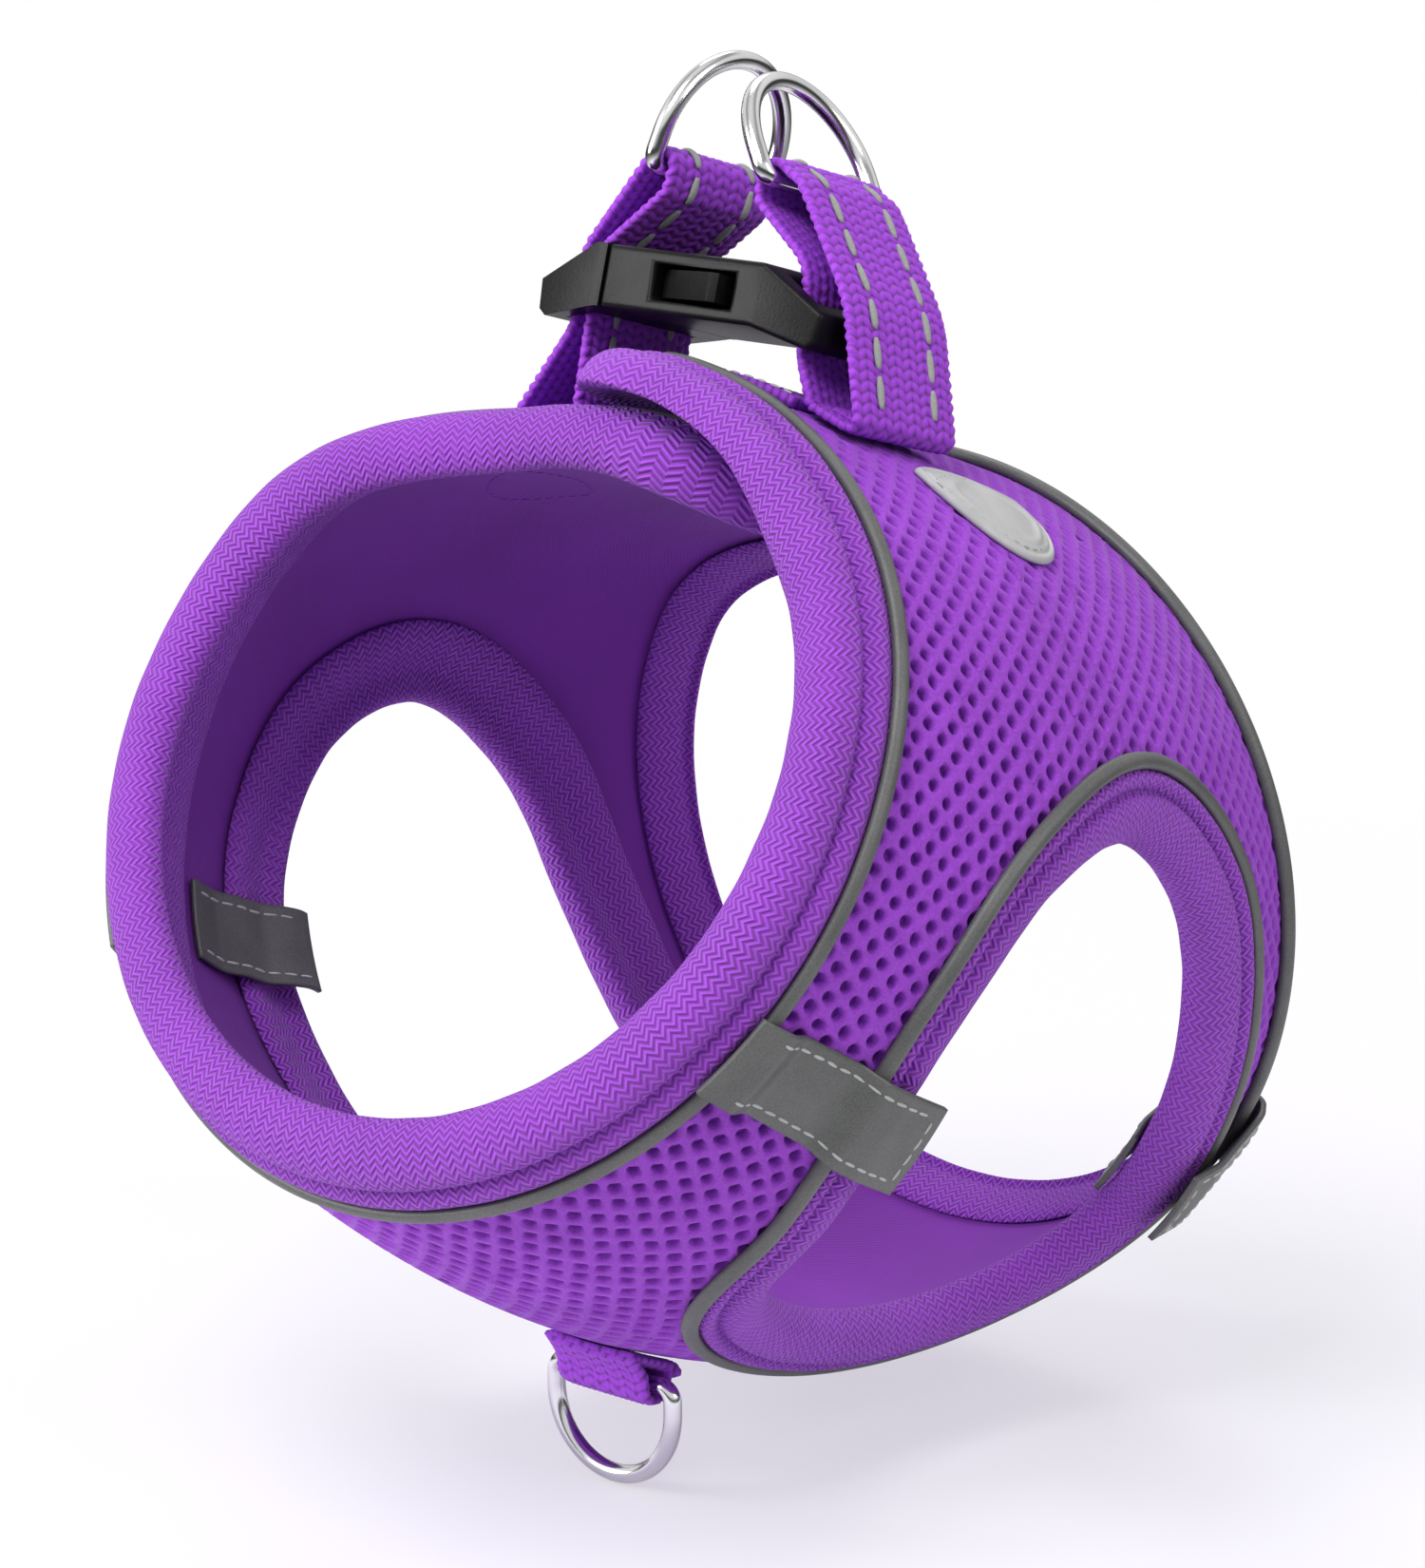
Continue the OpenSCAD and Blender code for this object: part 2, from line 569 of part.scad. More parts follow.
module at_buckle() {
    on_back() translate([0, 0, buckle_h]) children();
}
module socket() {
    at_buckle() difference() {
        buckle_block();
        web_slot();
        translate([seam_x - 1, -cavity_w / 2, -cavity_h / 2])
            cube([cavity_x - seam_x + 1, cavity_w, cavity_h]);
        for (s = side_list)
            translate([window_x[0], s > 0 ? 0 : -buckle_w, -cavity_h / 2])
                cube([window_x[1] - window_x[0], buckle_w, cavity_h]);
    }
}
module plug_end_block() {
    intersection() {
        mirror([1, 0, 0]) buckle_block();
        translate([-40, -20, -20]) cube([40 + seam_x - fit, 40, 40]);
    }
}
module plug() {
    pocket_x = pin_x - eye_d / 2 - 0.3;
    at_buckle() {
        difference() {
            plug_end_block();
            mirror([1, 0, 0]) web_slot();
            for (s = side_list)
                translate([pocket_x, s * pin_y - 2.6, -arm_t / 2 - fit]) cube([10, 5.2, arm_t + 2 * fit]);
        }
        for (s = side_list)
            translate([pin_x, s * pin_y, -guide_t / 2]) cylinder(h = guide_t, d = pin_d, $fn = 48);
        translate([seam_x - 1, -guide_w / 2, -guide_t / 2])
            cube([cavity_x - seam_x + 1 - 2 * fit, guide_w, guide_t]);
    }
}
// The latch arm at the rear; s is -1 for the one at the front
module latch_arm(s) {
    at_buckle() mirror([0, s < 0 ? 1 : 0, 0]) difference() {
        union() {
            translate([pin_x, pin_y, -arm_t / 2]) cylinder(h = arm_t, d = eye_d, $fn = 48);
            translate([pin_x, arm_in, -arm_t / 2])
                cube([pad_profile[0][0] - pin_x + 1, arm_out - arm_in, arm_t]);
            translate([0, 0, -arm_t / 2]) linear_extrude(arm_t) polygon(pad_profile);
        }
        translate([pin_x, pin_y, -arm_t]) cylinder(h = 2 * arm_t, d = pin_d + 2 * pin_fit, $fn = 48);
    }
}

// ---- the nodes ------------------------------------------------------------------------------------------

module outer_mesh() color(purple) vest_layer(-mesh_t, 0);
module lining() color(deep_purple) vest_layer(-skin_t, -mesh_t - layer_gap);
module neck_binding() color(purple) neck_edging();
module rear_binding() color(purple) rear_edging();
module left_leg_binding() color(purple) leg_edging(left_leg_line);
module right_leg_binding() color(purple) leg_edging(right_leg_line);
module neck_piping() color(grey) piping(neck_line, false);
module rear_piping() color(grey) piping(rear_line, false);
module left_leg_piping() color(grey) piping(left_leg_line, true);
module right_leg_piping() color(grey) piping(right_leg_line, true);
module left_reflective_band() color(grey) both(band_rows, 0.8, true);
module right_reflective_band() color(grey) both(band_rows, 0.8, false);
module left_strip_tab() color(grey) strip_tab(tab_line);
module right_strip_tab() color(grey) strip_tab(right_tab_line);
module left_badge() color([0.7, 0.7, 0.71]) both(badge_rows, 1, true);
module right_badge() color([0.7, 0.7, 0.71]) both(badge_rows, 1, false);
module hook_patch() color(deep_purple) hook_pad();
module loop_patch() color(deep_purple) loop_pad();
module back_strap() color(purple) base_strap();
module left_ring_loop() color(purple) ring_loop(loop_path(left_base_out, left_base_in));
right_path = slot_path(flip_x(right_base_out), flip_x(right_base_in));
module right_ring_loop() color(purple) mirror([1, 0, 0]) ring_loop(right_path, from_h = foot_h + gap);
module right_loop_foot() color(purple) mirror([1, 0, 0]) ring_loop(right_path, to_h = foot_h);
module left_loop_bartack() color(deep_purple) bartack(left_base_out, left_base_in, 0.5);
module right_loop_bartack() color(deep_purple) bartack(right_base_out, right_base_in, 0.66);
module left_leash_ring() color([0.8, 0.8, 0.82]) leash_ring(1, left_lean);
module right_leash_ring() color([0.8, 0.8, 0.82]) leash_ring(-1, right_lean);
module chest_ring_tab() color(purple) chest_tab();
module chest_ring() color([0.8, 0.8, 0.82])
    translate(chest_bar) rotate([180, 0, 90]) d_ring(chest_ring_r, chest_reach);
module buckle_socket() color([0.08, 0.08, 0.09]) socket();
module buckle_plug() color([0.08, 0.08, 0.09]) plug();
module latch_arm_front() color([0.12, 0.12, 0.13]) latch_arm(-1);
module latch_arm_rear() color([0.12, 0.12, 0.13]) latch_arm(1);

outer_mesh();
lining();
neck_binding();
rear_binding();
left_leg_binding();
right_leg_binding();
neck_piping();
rear_piping();
left_leg_piping();
right_leg_piping();
left_reflective_band();
right_reflective_band();
left_strip_tab();
right_strip_tab();
left_badge();
right_badge();
hook_patch();
loop_patch();
back_strap();
left_ring_loop();
right_ring_loop();
right_loop_foot();
left_loop_bartack();
right_loop_bartack();
left_leash_ring();
right_leash_ring();
chest_ring_tab();
chest_ring();
buckle_socket();
buckle_plug();
latch_arm_front();
latch_arm_rear();
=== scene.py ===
import math

import bmesh
import bpy
import numpy as np
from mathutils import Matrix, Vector


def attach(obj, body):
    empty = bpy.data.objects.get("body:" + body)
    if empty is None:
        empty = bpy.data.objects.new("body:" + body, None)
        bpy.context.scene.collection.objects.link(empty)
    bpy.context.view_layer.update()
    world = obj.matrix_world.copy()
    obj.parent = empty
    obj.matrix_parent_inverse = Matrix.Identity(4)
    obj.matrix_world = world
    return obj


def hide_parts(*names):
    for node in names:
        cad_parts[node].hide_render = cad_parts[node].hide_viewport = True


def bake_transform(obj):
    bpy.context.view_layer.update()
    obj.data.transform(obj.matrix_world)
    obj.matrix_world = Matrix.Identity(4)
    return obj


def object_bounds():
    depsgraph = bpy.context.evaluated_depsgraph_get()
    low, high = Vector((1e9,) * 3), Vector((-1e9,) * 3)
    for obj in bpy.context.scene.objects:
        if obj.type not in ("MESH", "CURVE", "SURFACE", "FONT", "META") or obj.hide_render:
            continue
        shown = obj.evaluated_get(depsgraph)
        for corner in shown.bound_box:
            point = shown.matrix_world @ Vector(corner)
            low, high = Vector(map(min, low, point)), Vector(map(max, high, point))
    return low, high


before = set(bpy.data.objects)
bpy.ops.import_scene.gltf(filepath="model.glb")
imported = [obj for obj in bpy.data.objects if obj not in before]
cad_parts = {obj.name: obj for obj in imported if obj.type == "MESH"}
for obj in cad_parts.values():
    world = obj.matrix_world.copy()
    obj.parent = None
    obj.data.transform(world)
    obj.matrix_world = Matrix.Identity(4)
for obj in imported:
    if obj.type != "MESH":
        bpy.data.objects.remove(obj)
cad_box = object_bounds()
rng = np.random.default_rng(11)
MM = 0.001

# ---- camera ------------------------------------------------------------------------------------------
AZIMUTH, ELEVATION, DISTANCE = math.radians(40.0), math.radians(14.0), 690.0
FOCAL_PX, IMAGE_H = 5665.0, 1650.0
back = Vector((math.sin(AZIMUTH) * math.cos(ELEVATION), -math.cos(AZIMUTH) * math.cos(ELEVATION), math.sin(ELEVATION)))
target = Vector((0, -3.5, 3.75))
camera = bpy.data.objects.new("camera", bpy.data.cameras.new("camera"))
bpy.context.scene.collection.objects.link(camera)
camera.location = (target + back * DISTANCE) * MM
camera.rotation_euler = back.to_track_quat("Z", "Y").to_euler()
camera.data.lens = 36.0 * FOCAL_PX / IMAGE_H
camera.data.sensor_width = 36.0
camera.data.shift_x = -10.0 / IMAGE_H
camera.data.shift_y = -2.0 / IMAGE_H
camera.data.clip_start, camera.data.clip_end = 0.01, 50
bpy.context.scene.camera = camera

# ---- the vest's skin, in mm: angle g round the body, v from the neck edge to the rear edge ------------------
NECK_W, NECK_H, NECK_FLAT, NECK_TILT = 57.0, 56.0, 3.0, 30.0
REAR_W, REAR_H, REAR_TILT = 53.0, 54.5, 6.0
BODY_L, BODY_DROP, SIDE_BOW, BELLY_BOW = 93.0, 29.5, 8.0, 20.0
FLAP_OVER, FLAP_UNDER, TUCK, TUCK_FROM, TUCK_FULL = 3.0, 20.0, 7.8, 60.0, 12.0
CORNER_G, CORNER_V = 12.0, 0.2
LEG_G, LEG_V = 122.0, 0.53
LEG_R = np.array([50.5, 47, 38, 35.5, 41, 47, 48.5, 48, 37, 34.5, 38, 46])
MM_G = (NECK_W + REAR_W + 2 * SIDE_BOW) * math.pi / 360
MM_V = math.hypot(BODY_L, BODY_DROP)
MESH_T, LINING_T, SKIN_T = 2.2, 0.8, 3.2
GAP = 0.3


def smooth(x):
    t = np.clip(x, 0, 1)
    return t * t * (3 - 2 * t)


def sind(a):
    return np.sin(np.radians(a))


def cosd(a):
    return np.cos(np.radians(a))


def skin(g, v):
    """Points of the skin at angles g and places v"""
    g, v = np.broadcast_arrays(np.asarray(g, float), np.asarray(v, float))
    s, c = sind(g), cosd(g)
    h = NECK_H - NECK_FLAT * smooth(c)
    neck = np.stack([NECK_W * s, -BODY_L / 2 + h * c * sind(NECK_TILT), BODY_DROP / 2 + h * c * cosd(NECK_TILT)], -1)
    rear = np.stack([REAR_W * s, BODY_L / 2 - REAR_H * c * sind(REAR_TILT),
                     -BODY_DROP / 2 + REAR_H * c * cosd(REAR_TILT)], -1)
    bow = (SIDE_BOW * s * s + BELLY_BOW * np.maximum(0, -c) ** 2) * 4 * v * (1 - v)
    tuck = TUCK * smooth((g - 360 + TUCK_FROM) / (TUCK_FROM - TUCK_FULL))
    out = np.stack([s, 0 * s, c], -1)
    return neck * (1 - v)[..., None] + rear * v[..., None] + out * (bow - tuck)[..., None]


def unit(a):
    return a / np.maximum(np.linalg.norm(a, axis=-1, keepdims=True), 1e-12)


def skin_n(g, v):
    g, v = np.asarray(g, float), np.asarray(v, float)
    return unit(np.cross(skin(g + 0.5, v) - skin(g - 0.5, v), skin(g, v + 0.01) - skin(g, v - 0.01)))


def over(g, v, t):
    return skin(g, v) + skin_n(g, v) * np.asarray(t, float)[..., None]


def leg_radius(a):
    x = np.asarray(a, float) / 30
    i = np.floor(x).astype(int)
    t = x - i
    p = [LEG_R[(i + k) % 12] for k in (-1, 0, 1, 2)]
    return 0.5 * (2 * p[1] + (p[2] - p[0]) * t + (2 * p[0] - 5 * p[1] + 4 * p[2] - p[3]) * t * t
                  + (3 * p[1] - p[0] - 3 * p[2] + p[3]) * t ** 3)


def leg_line(n):
    """The left leg opening's line as [g, v], clockwise seen from outside"""
    a = np.linspace(0, 360, n, endpoint=False)
    return np.stack([LEG_G - leg_radius(a) * cosd(a) / MM_G, LEG_V + leg_radius(a) * sind(a) / MM_V], -1)


def leg_towards(q):
    a = np.degrees(np.arctan2((q[:, 1] - LEG_V) * MM_V, (LEG_G - q[:, 0]) * MM_G)) % 360
    return np.stack([LEG_G - leg_radius(a) * cosd(a) / MM_G, LEG_V + leg_radius(a) * sind(a) / MM_V], -1)


def half_edge(end_g, v, inward, split=0.004):
    turn = np.linspace(90, 0, 24)
    first = np.linspace(0.5 - inward * split, v + inward * CORNER_V, 24)[:-1]
    return np.concatenate([
        np.stack([np.full(23, end_g), first], -1),
        np.stack([end_g + CORNER_G * (1 - sind(turn)), v + inward * CORNER_V * (1 - cosd(turn))], -1),
        np.stack([np.linspace(end_g + CORNER_G, 180, 160)[1:], np.full(159, float(v))], -1)])


def whole_edge(v, inward):
    a, b = half_edge(-FLAP_OVER, v, inward), half_edge(-FLAP_UNDER, v, inward)
    return np.concatenate([a, np.stack([360 - b[::-1, 0], b[::-1, 1]], -1)[1:]])


def resample(line, step, closed=False):
    """The line on the skin at even spacing, in mm"""
    pts = np.concatenate([line, line[:1]]) if closed else line
    p = skin(pts[:, 0], pts[:, 1])
    s = np.concatenate([[0], np.cumsum(np.linalg.norm(np.diff(p, axis=0), axis=1))])
    n = max(8, int(round(s[-1] / step)))
    at = np.linspace(0, s[-1], n + 1)[: n if closed else n + 1]
    return np.stack([np.interp(at, s, pts[:, 0]), np.interp(at, s, pts[:, 1])], -1), at


def blur(a, width, closed=False):
    """Running mean along the first axis"""
    if width < 2:
        return a
    k = width // 2
    pad = np.concatenate([a[-k:], a, a[:k]]) if closed else np.concatenate([np.repeat(a[:1], k, 0), a, np.repeat(a[-1:], k, 0)])
    c = np.cumsum(np.concatenate([np.zeros_like(pad[:1]), pad]), axis=0)
    return ((c[2 * k + 1:] - c[: -2 * k - 1]) / (2 * k + 1))[: len(a)]


# ---- mesh building ---------------------------------------------------------------------------------------
def add_mesh(name, verts, faces, material, uv=None, body="vest", shade=True):
    mesh = bpy.data.meshes.new(name)
    verts = np.asarray(verts, float).reshape(-1, 3) * MM
    mesh.from_pydata(verts.tolist(), [], [list(map(int, f)) for f in faces])
    mesh.update()
    if uv is not None:
        layer = mesh.uv_layers.new(name="UVMap")
        idx = np.empty(len(mesh.loops), np.int32)
        mesh.loops.foreach_get("vertex_index", idx)
        layer.data.foreach_set("uv", np.asarray(uv, np.float32).reshape(-1, 2)[idx].ravel())
    mesh.shade_smooth() if shade else None
    obj = bpy.data.objects.new(name, mesh)
    bpy.context.scene.collection.objects.link(obj)
    mesh.materials.append(material)
    if body:
        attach(obj, body)
    return obj


def grid_faces(rows, cols, wrap_r=False, wrap_c=False, flip=False):
    r = np.arange(rows if wrap_r else rows - 1)
    c = np.arange(cols if wrap_c else cols - 1)
    R, C = np.meshgrid(r, c, indexing="ij")
    R1, C1 = (R + 1) % rows, (C + 1) % cols
    f = np.stack([R * cols + C, R1 * cols + C, R1 * cols + C1, R * cols + C1], -1).reshape(-1, 4)
    return f[:, ::-1] if flip else f


def spline_points(ctrl, per):
    """Catmull-Rom through a closed list of control points"""
    p = np.asarray(ctrl, float)
    n = len(p)
    t = np.linspace(0, 1, per, endpoint=False)[:, None]
    out = []
    for i in range(n):
        a, b, c, d = p[i - 1], p[i], p[(i + 1) % n], p[(i + 2) % n]
        out.append(0.5 * (2 * b + (c - a) * t + (2 * a - 5 * b + 4 * c - d) * t * t + (3 * b - a - 3 * c + d) * t ** 3))
    return np.concatenate(out)


def line_frames(line, closed):
    p, up = skin(line[:, 0], line[:, 1]), skin_n(line[:, 0], line[:, 1])
    if closed:
        along = np.roll(p, -1, 0) - np.roll(p, 1, 0)
    else:
        along = np.gradient(p, axis=0)
    off = blur(unit(np.cross(along, up)), 9, closed)
    up = blur(up, 9, closed)
    return p, unit(off), unit(up)


def wobble(n, step, waves, amount, closed, seed):
    """Smooth seeded unevenness along a line"""
    r = np.random.default_rng(seed)
    x = np.arange(n) * step
    total = n * step
    out = np.zeros(n)
    for w in waves:
        k = max(1, round(total / w))
        out += np.sin(2 * math.pi * k * x / total + r.uniform(0, 6.28)) * r.uniform(0.6, 1)
    return out * amount / len(waves)


def sweep_edging(name, node, line, profile_at, material, closed, step=0.9, seed=1):
    line, at = resample(line, step, closed)
    p, off, up = line_frames(line, closed)
    n = len(line)
    prof = np.stack([profile_at(g) for g in line[:, 0]])          # n, m, 2
    m = prof.shape[1]
    swell = wobble(n, step, (23, 14, 8.5), 0.22, closed, seed)
    centre = prof.mean(1, keepdims=True)
    prof = centre + (prof - centre) * (1 + swell[:, None, None] * 0.05)
    verts = p[:, None] + off[:, None] * prof[..., :1] + up[:, None] * prof[..., 1:]
    d = np.linalg.norm(np.diff(prof, axis=1), axis=2)
    w = np.concatenate([np.zeros((n, 1)), np.cumsum(d, axis=1)], axis=1)
    uv = np.stack(np.broadcast_arrays(at[:, None], w), -1)
    faces = [list(f) for f in grid_faces(n, m, closed, True)]
    if not closed:
        faces += [list(range(m)), [(n - 1) * m + j for j in range(m)][::-1]]
    obj = add_mesh(name, verts, faces, material, uv.reshape(-1, 2))
    if closed:
        close_seam(obj, n, m, float(at[-1] + (at[1] - at[0])))
    fix_normals(obj)
    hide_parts(node)
    return obj


def close_seam(obj, n, m, total):
    """Lets the pattern of a closed sweep run on across its last row instead of back to the start"""
    loops = obj.data.loops
    idx = np.empty(len(loops), np.int32)
    loops.foreach_get("vertex_index", idx)
    layer = obj.data.uv_layers["UVMap"].data
    uv = np.empty(len(loops) * 2, np.float32)
    layer.foreach_get("uv", uv)
    uv = uv.reshape(-1, 4, 2)
    row = idx.reshape(-1, 4) // m
    seam = (row.max(1) == n - 1) & (row.min(1) == 0)
    uv[..., 0] += np.where(seam[:, None] & (row == 0), total, 0)
    layer.foreach_set("uv", uv.ravel())


def fix_normals(obj):
    bm = bmesh.new()
    bm.from_mesh(obj.data)
    bmesh.ops.recalc_face_normals(bm, faces=bm.faces)
    bm.to_mesh(obj.data)
    bm.free()


# ---- materials ---------------------------------------------------------------------------------------------
class Nodes:
    """Short way to build a material's nodes"""

    def __init__(self, name, rough=0.8, **sockets):
        self.mat = bpy.data.materials.new(name)
        self.mat.use_nodes = True
        self.t = self.mat.node_tree
        self.bsdf = self.t.nodes["Principled BSDF"]
        self.bsdf.inputs["Roughness"].default_value = rough
        for k, v in sockets.items():
            self.bsdf.inputs[k.replace("_", " ")].default_value = v

    def new(self, kind, **props):
        n = self.t.nodes.new(kind)
        for k, v in props.items():
            setattr(n, k, v)
        return n

    def link(self, a, b):
        self.t.links.new(a, b)

    def put(self, socket, value):
        if hasattr(value, "is_output"):
            self.link(value, socket)
        else:
            socket.default_value = value

    def math(self, op, a, b=0.0, c=0.0):
        n = self.new("ShaderNodeMath", operation=op)
        for s, v in zip(n.inputs, (a, b, c)):
            self.put(s, v)
        return n.outputs[0]

    def uv(self):
        n = self.new("ShaderNodeUVMap", uv_map="UVMap")
        s = self.new("ShaderNodeSeparateXYZ")
        self.link(n.outputs[0], s.inputs[0])
        return s.outputs[0], s.outputs[1]

    def where(self):
        return self.new("ShaderNodeTexCoord").outputs["Object"]

    def noise(self, scale, detail=3.0, vector=None, rough=0.55):
        n = self.new("ShaderNodeTexNoise")
        self.link(vector if vector is not None else self.where(), n.inputs["Vector"])
        n.inputs["Scale"].default_value = scale
        n.inputs["Detail"].default_value = detail
        n.inputs["Roughness"].default_value = rough
        return n.outputs["Fac"]

    def ramp(self, fac, stops):
        n = self.new("ShaderNodeValToRGB")
        self.link(fac, n.inputs[0])
        e = n.color_ramp.elements
        while len(e) < len(stops):
            e.new(0.5)
        for el, (pos, col) in zip(e, stops):
            el.position = pos
            el.color = (*col, 1)
        return n.outputs[0]

    def bump(self, height, strength, distance):
        n = self.new("ShaderNodeBump")
        n.inputs["Strength"].default_value = strength
        n.inputs["Distance"].default_value = distance
        self.link(height, n.inputs["Height"])
        self.link(n.outputs[0], self.bsdf.inputs["Normal"])
        return n

    def colour(self, out):
        self.link(out, self.bsdf.inputs["Base Color"])


def tone(c, k):
    return tuple(min(1.0, x * k) for x in c)


VIVID = (0.285, 0.046, 0.53)
WEB = (0.205, 0.026, 0.40)
LINE = (0.165, 0.016, 0.315)
GREY = (0.094, 0.096, 0.094)


def knit_material(name, colour, spacing=1.0, period=2.0, swing=0.5, depth=0.34):
    """Ribbed stretch knit: rows of fine zigzags along the edging, with painted shade in the grooves between the rows"""
    n = Nodes(name, 0.85, Sheen_Weight=0.08, Sheen_Roughness=0.4)
    u, w = n.uv()
    zig = n.math("PINGPONG", u, period / 2)
    row = n.math("MULTIPLY_ADD", zig, swing * 2 / period * 2, w)
    wave = n.math("SINE", n.math("MULTIPLY", row, 2 * math.pi / spacing))
    fine = n.noise(2600, 2)
    height = n.math("MULTIPLY_ADD", fine, 0.5, wave)
    n.bump(height, 0.75, depth * MM)
    big = n.noise(55, 3)
    # colour: painted shade in the grooves and painted light on the crests of the zigzag rows, over a random tone from
    # the large noise
    mix = n.math("MULTIPLY_ADD", wave, 0.22, n.math("MULTIPLY_ADD", big, 0.3, 0.36))
    n.colour(n.ramp(mix, [(0.28, tone(colour, 0.58)), (0.62, tone(colour, 1.24))]))
    return n.mat


def fabric_material(name, colour, scale=1500, depth=0.05, low=0.78, high=1.1, rough=0.9, sheen=0.06):
    n = Nodes(name, rough, Sheen_Weight=sheen, Sheen_Roughness=0.4)
    fine, big = n.noise(scale, 2), n.noise(45, 3)
    n.bump(fine, 0.6, depth * MM)
    mix = n.math("MULTIPLY_ADD", fine, 0.6, n.math("MULTIPLY", big, 0.4))
    n.colour(n.ramp(mix, [(0.3, tone(colour, low)), (0.7, tone(colour, high))]))
    return n.mat


def lining_material():
    """Smooth warp-knit lining with very fine diagonal ribs"""
    n = Nodes("lining", 0.85, Sheen_Weight=0.06, Sheen_Roughness=0.4)
    u, v = n.uv()
    wave = n.math("SINE", n.math("MULTIPLY", n.math("MULTIPLY_ADD", u, 0.8, v), 2 * math.pi / 0.75))
    fine, big = n.noise(1800, 2), n.noise(32, 3)
    n.bump(n.math("MULTIPLY_ADD", fine, 0.8, wave), 0.35, 0.05 * MM)
    n.colour(n.ramp(big, [(0.3, tone(LINE, 0.85)), (0.7, tone(LINE, 1.12))]))
    return n.mat


def web_material(name, colour, rib=1.5):
    """Polyester webbing: shade sits between the V-shaped picks and between the ribs"""
    n = Nodes(name, 0.78, Sheen_Weight=0.08, Sheen_Roughness=0.4)
    u, w = n.uv()
    bend = n.math("ABSOLUTE", n.math("SUBTRACT", n.math("FLOORED_MODULO", n.math("DIVIDE", w, rib), 2.0), 1.0))
    turn = n.math("MULTIPLY", n.math("MULTIPLY_ADD", bend, 0.5 * rib, u), math.pi / (rib * 0.92))
    pick = n.math("ABSOLUTE", n.math("SINE", turn))
    cord = n.math("ABSOLUTE", n.math("SINE", n.math("MULTIPLY", w, math.pi / rib)))
    fine = n.noise(2800, 2)
    n.bump(n.math("MULTIPLY_ADD", fine, 0.5, pick), 0.5, 0.08 * MM)
    mix = n.math("MULTIPLY_ADD", pick, 0.42, n.math("MULTIPLY_ADD", cord, 0.22, n.math("MULTIPLY", fine, 0.36)))
    n.colour(n.ramp(mix, [(0.25, tone(colour, 0.42)), (0.62, tone(colour, 1.12))]))
    return n.mat


def reflective_material():
    """Grey glass-bead tape: a fine bright grain and a slight satin gloss"""
    n = Nodes("reflective_tape", 0.5, Metallic=0.15)
    fine, big = n.noise(4200, 1), n.noise(120, 3)
    n.bump(fine, 0.35, 0.04 * MM)
    mix = n.math("MULTIPLY_ADD", fine, 0.55, n.math("MULTIPLY", big, 0.45))
    n.colour(n.ramp(mix, [(0.35, tone(GREY, 0.78)), (0.65, tone(GREY, 1.25))]))
    return n.mat


def badge_material():
    n = Nodes("badge_leather", 0.42)
    cells = n.new("ShaderNodeTexVoronoi")
    n.link(n.where(), cells.inputs["Vector"])
    cells.inputs["Scale"].default_value = 1500
    fine = n.noise(900, 4)
    n.bump(n.math("MULTIPLY_ADD", cells.outputs["Distance"], 0.7, fine), 0.35, 0.05 * MM)
    n.colour(n.ramp(n.noise(160, 3), [(0.3, (0.36, 0.36, 0.365)), (0.7, (0.44, 0.44, 0.445))]))
    return n.mat


def metal_material():
    n = Nodes("ring_steel", 0.17, Metallic=1.0)
    n.colour(n.ramp(n.noise(90, 2), [(0.3, (0.60, 0.60, 0.61)), (0.7, (0.74, 0.74, 0.75))]))
    return n.mat


def buckle_material():
    """Black acetal with a fine spark-eroded grain"""
    n = Nodes("buckle_black", 0.36, Specular_IOR_Level=0.14)
    fine = n.noise(2300, 3)
    n.bump(fine, 0.5, 0.06 * MM)
    n.colour(n.ramp(n.noise(300, 3), [(0.3, (0.0028, 0.0028, 0.003)), (0.7, (0.006, 0.006, 0.0064))]))
    return n.mat


M_KNIT = knit_material("knit_binding", VIVID)
M_MESH = fabric_material("air_mesh", VIVID, 2600, 0.06, 0.72, 1.12)
M_BACKING = fabric_material("mesh_backing", tone(LINE, 0.95), 1800, 0.05)
M_LINING = lining_material()
M_WEB = web_material("webbing", tone(WEB, 1.25))
M_GREY = reflective_material()
M_THREAD = fabric_material("grey_thread", (0.30, 0.31, 0.29), 3000, 0.05)
M_PURPLE_THREAD = fabric_material("purple_thread", tone(WEB, 1.15), 3000, 0.05)
M_BADGE = badge_material()
M_METAL = metal_material()
M_BUCKLE = buckle_material()
M_PAD = fabric_material("hook_and_loop", tone(LINE, 0.9), 1400, 0.12)

# ---- sheets: backing of the air mesh, and the lining -----------------------------------------------------------
RING_G, RING_ROWS, RING_V, RING_F, FLANK, CORNERS = 62.0, 10, 36, 44, 28, 8
RING_N = 2 * (RING_V + RING_F)


def ring_outer():
    a = np.stack([np.full(RING_V, RING_G), np.arange(RING_V) / RING_V], -1)
    b = np.stack([RING_G + (180 - RING_G) * np.arange(RING_F) / RING_F, np.ones(RING_F)], -1)
    c = np.stack([np.full(RING_V, 180.0), 1 - np.arange(RING_V) / RING_V], -1)
    d = np.stack([180 - (180 - RING_G) * np.arange(RING_F) / RING_F, np.zeros(RING_F)], -1)
    return np.concatenate([a, b, c, d])


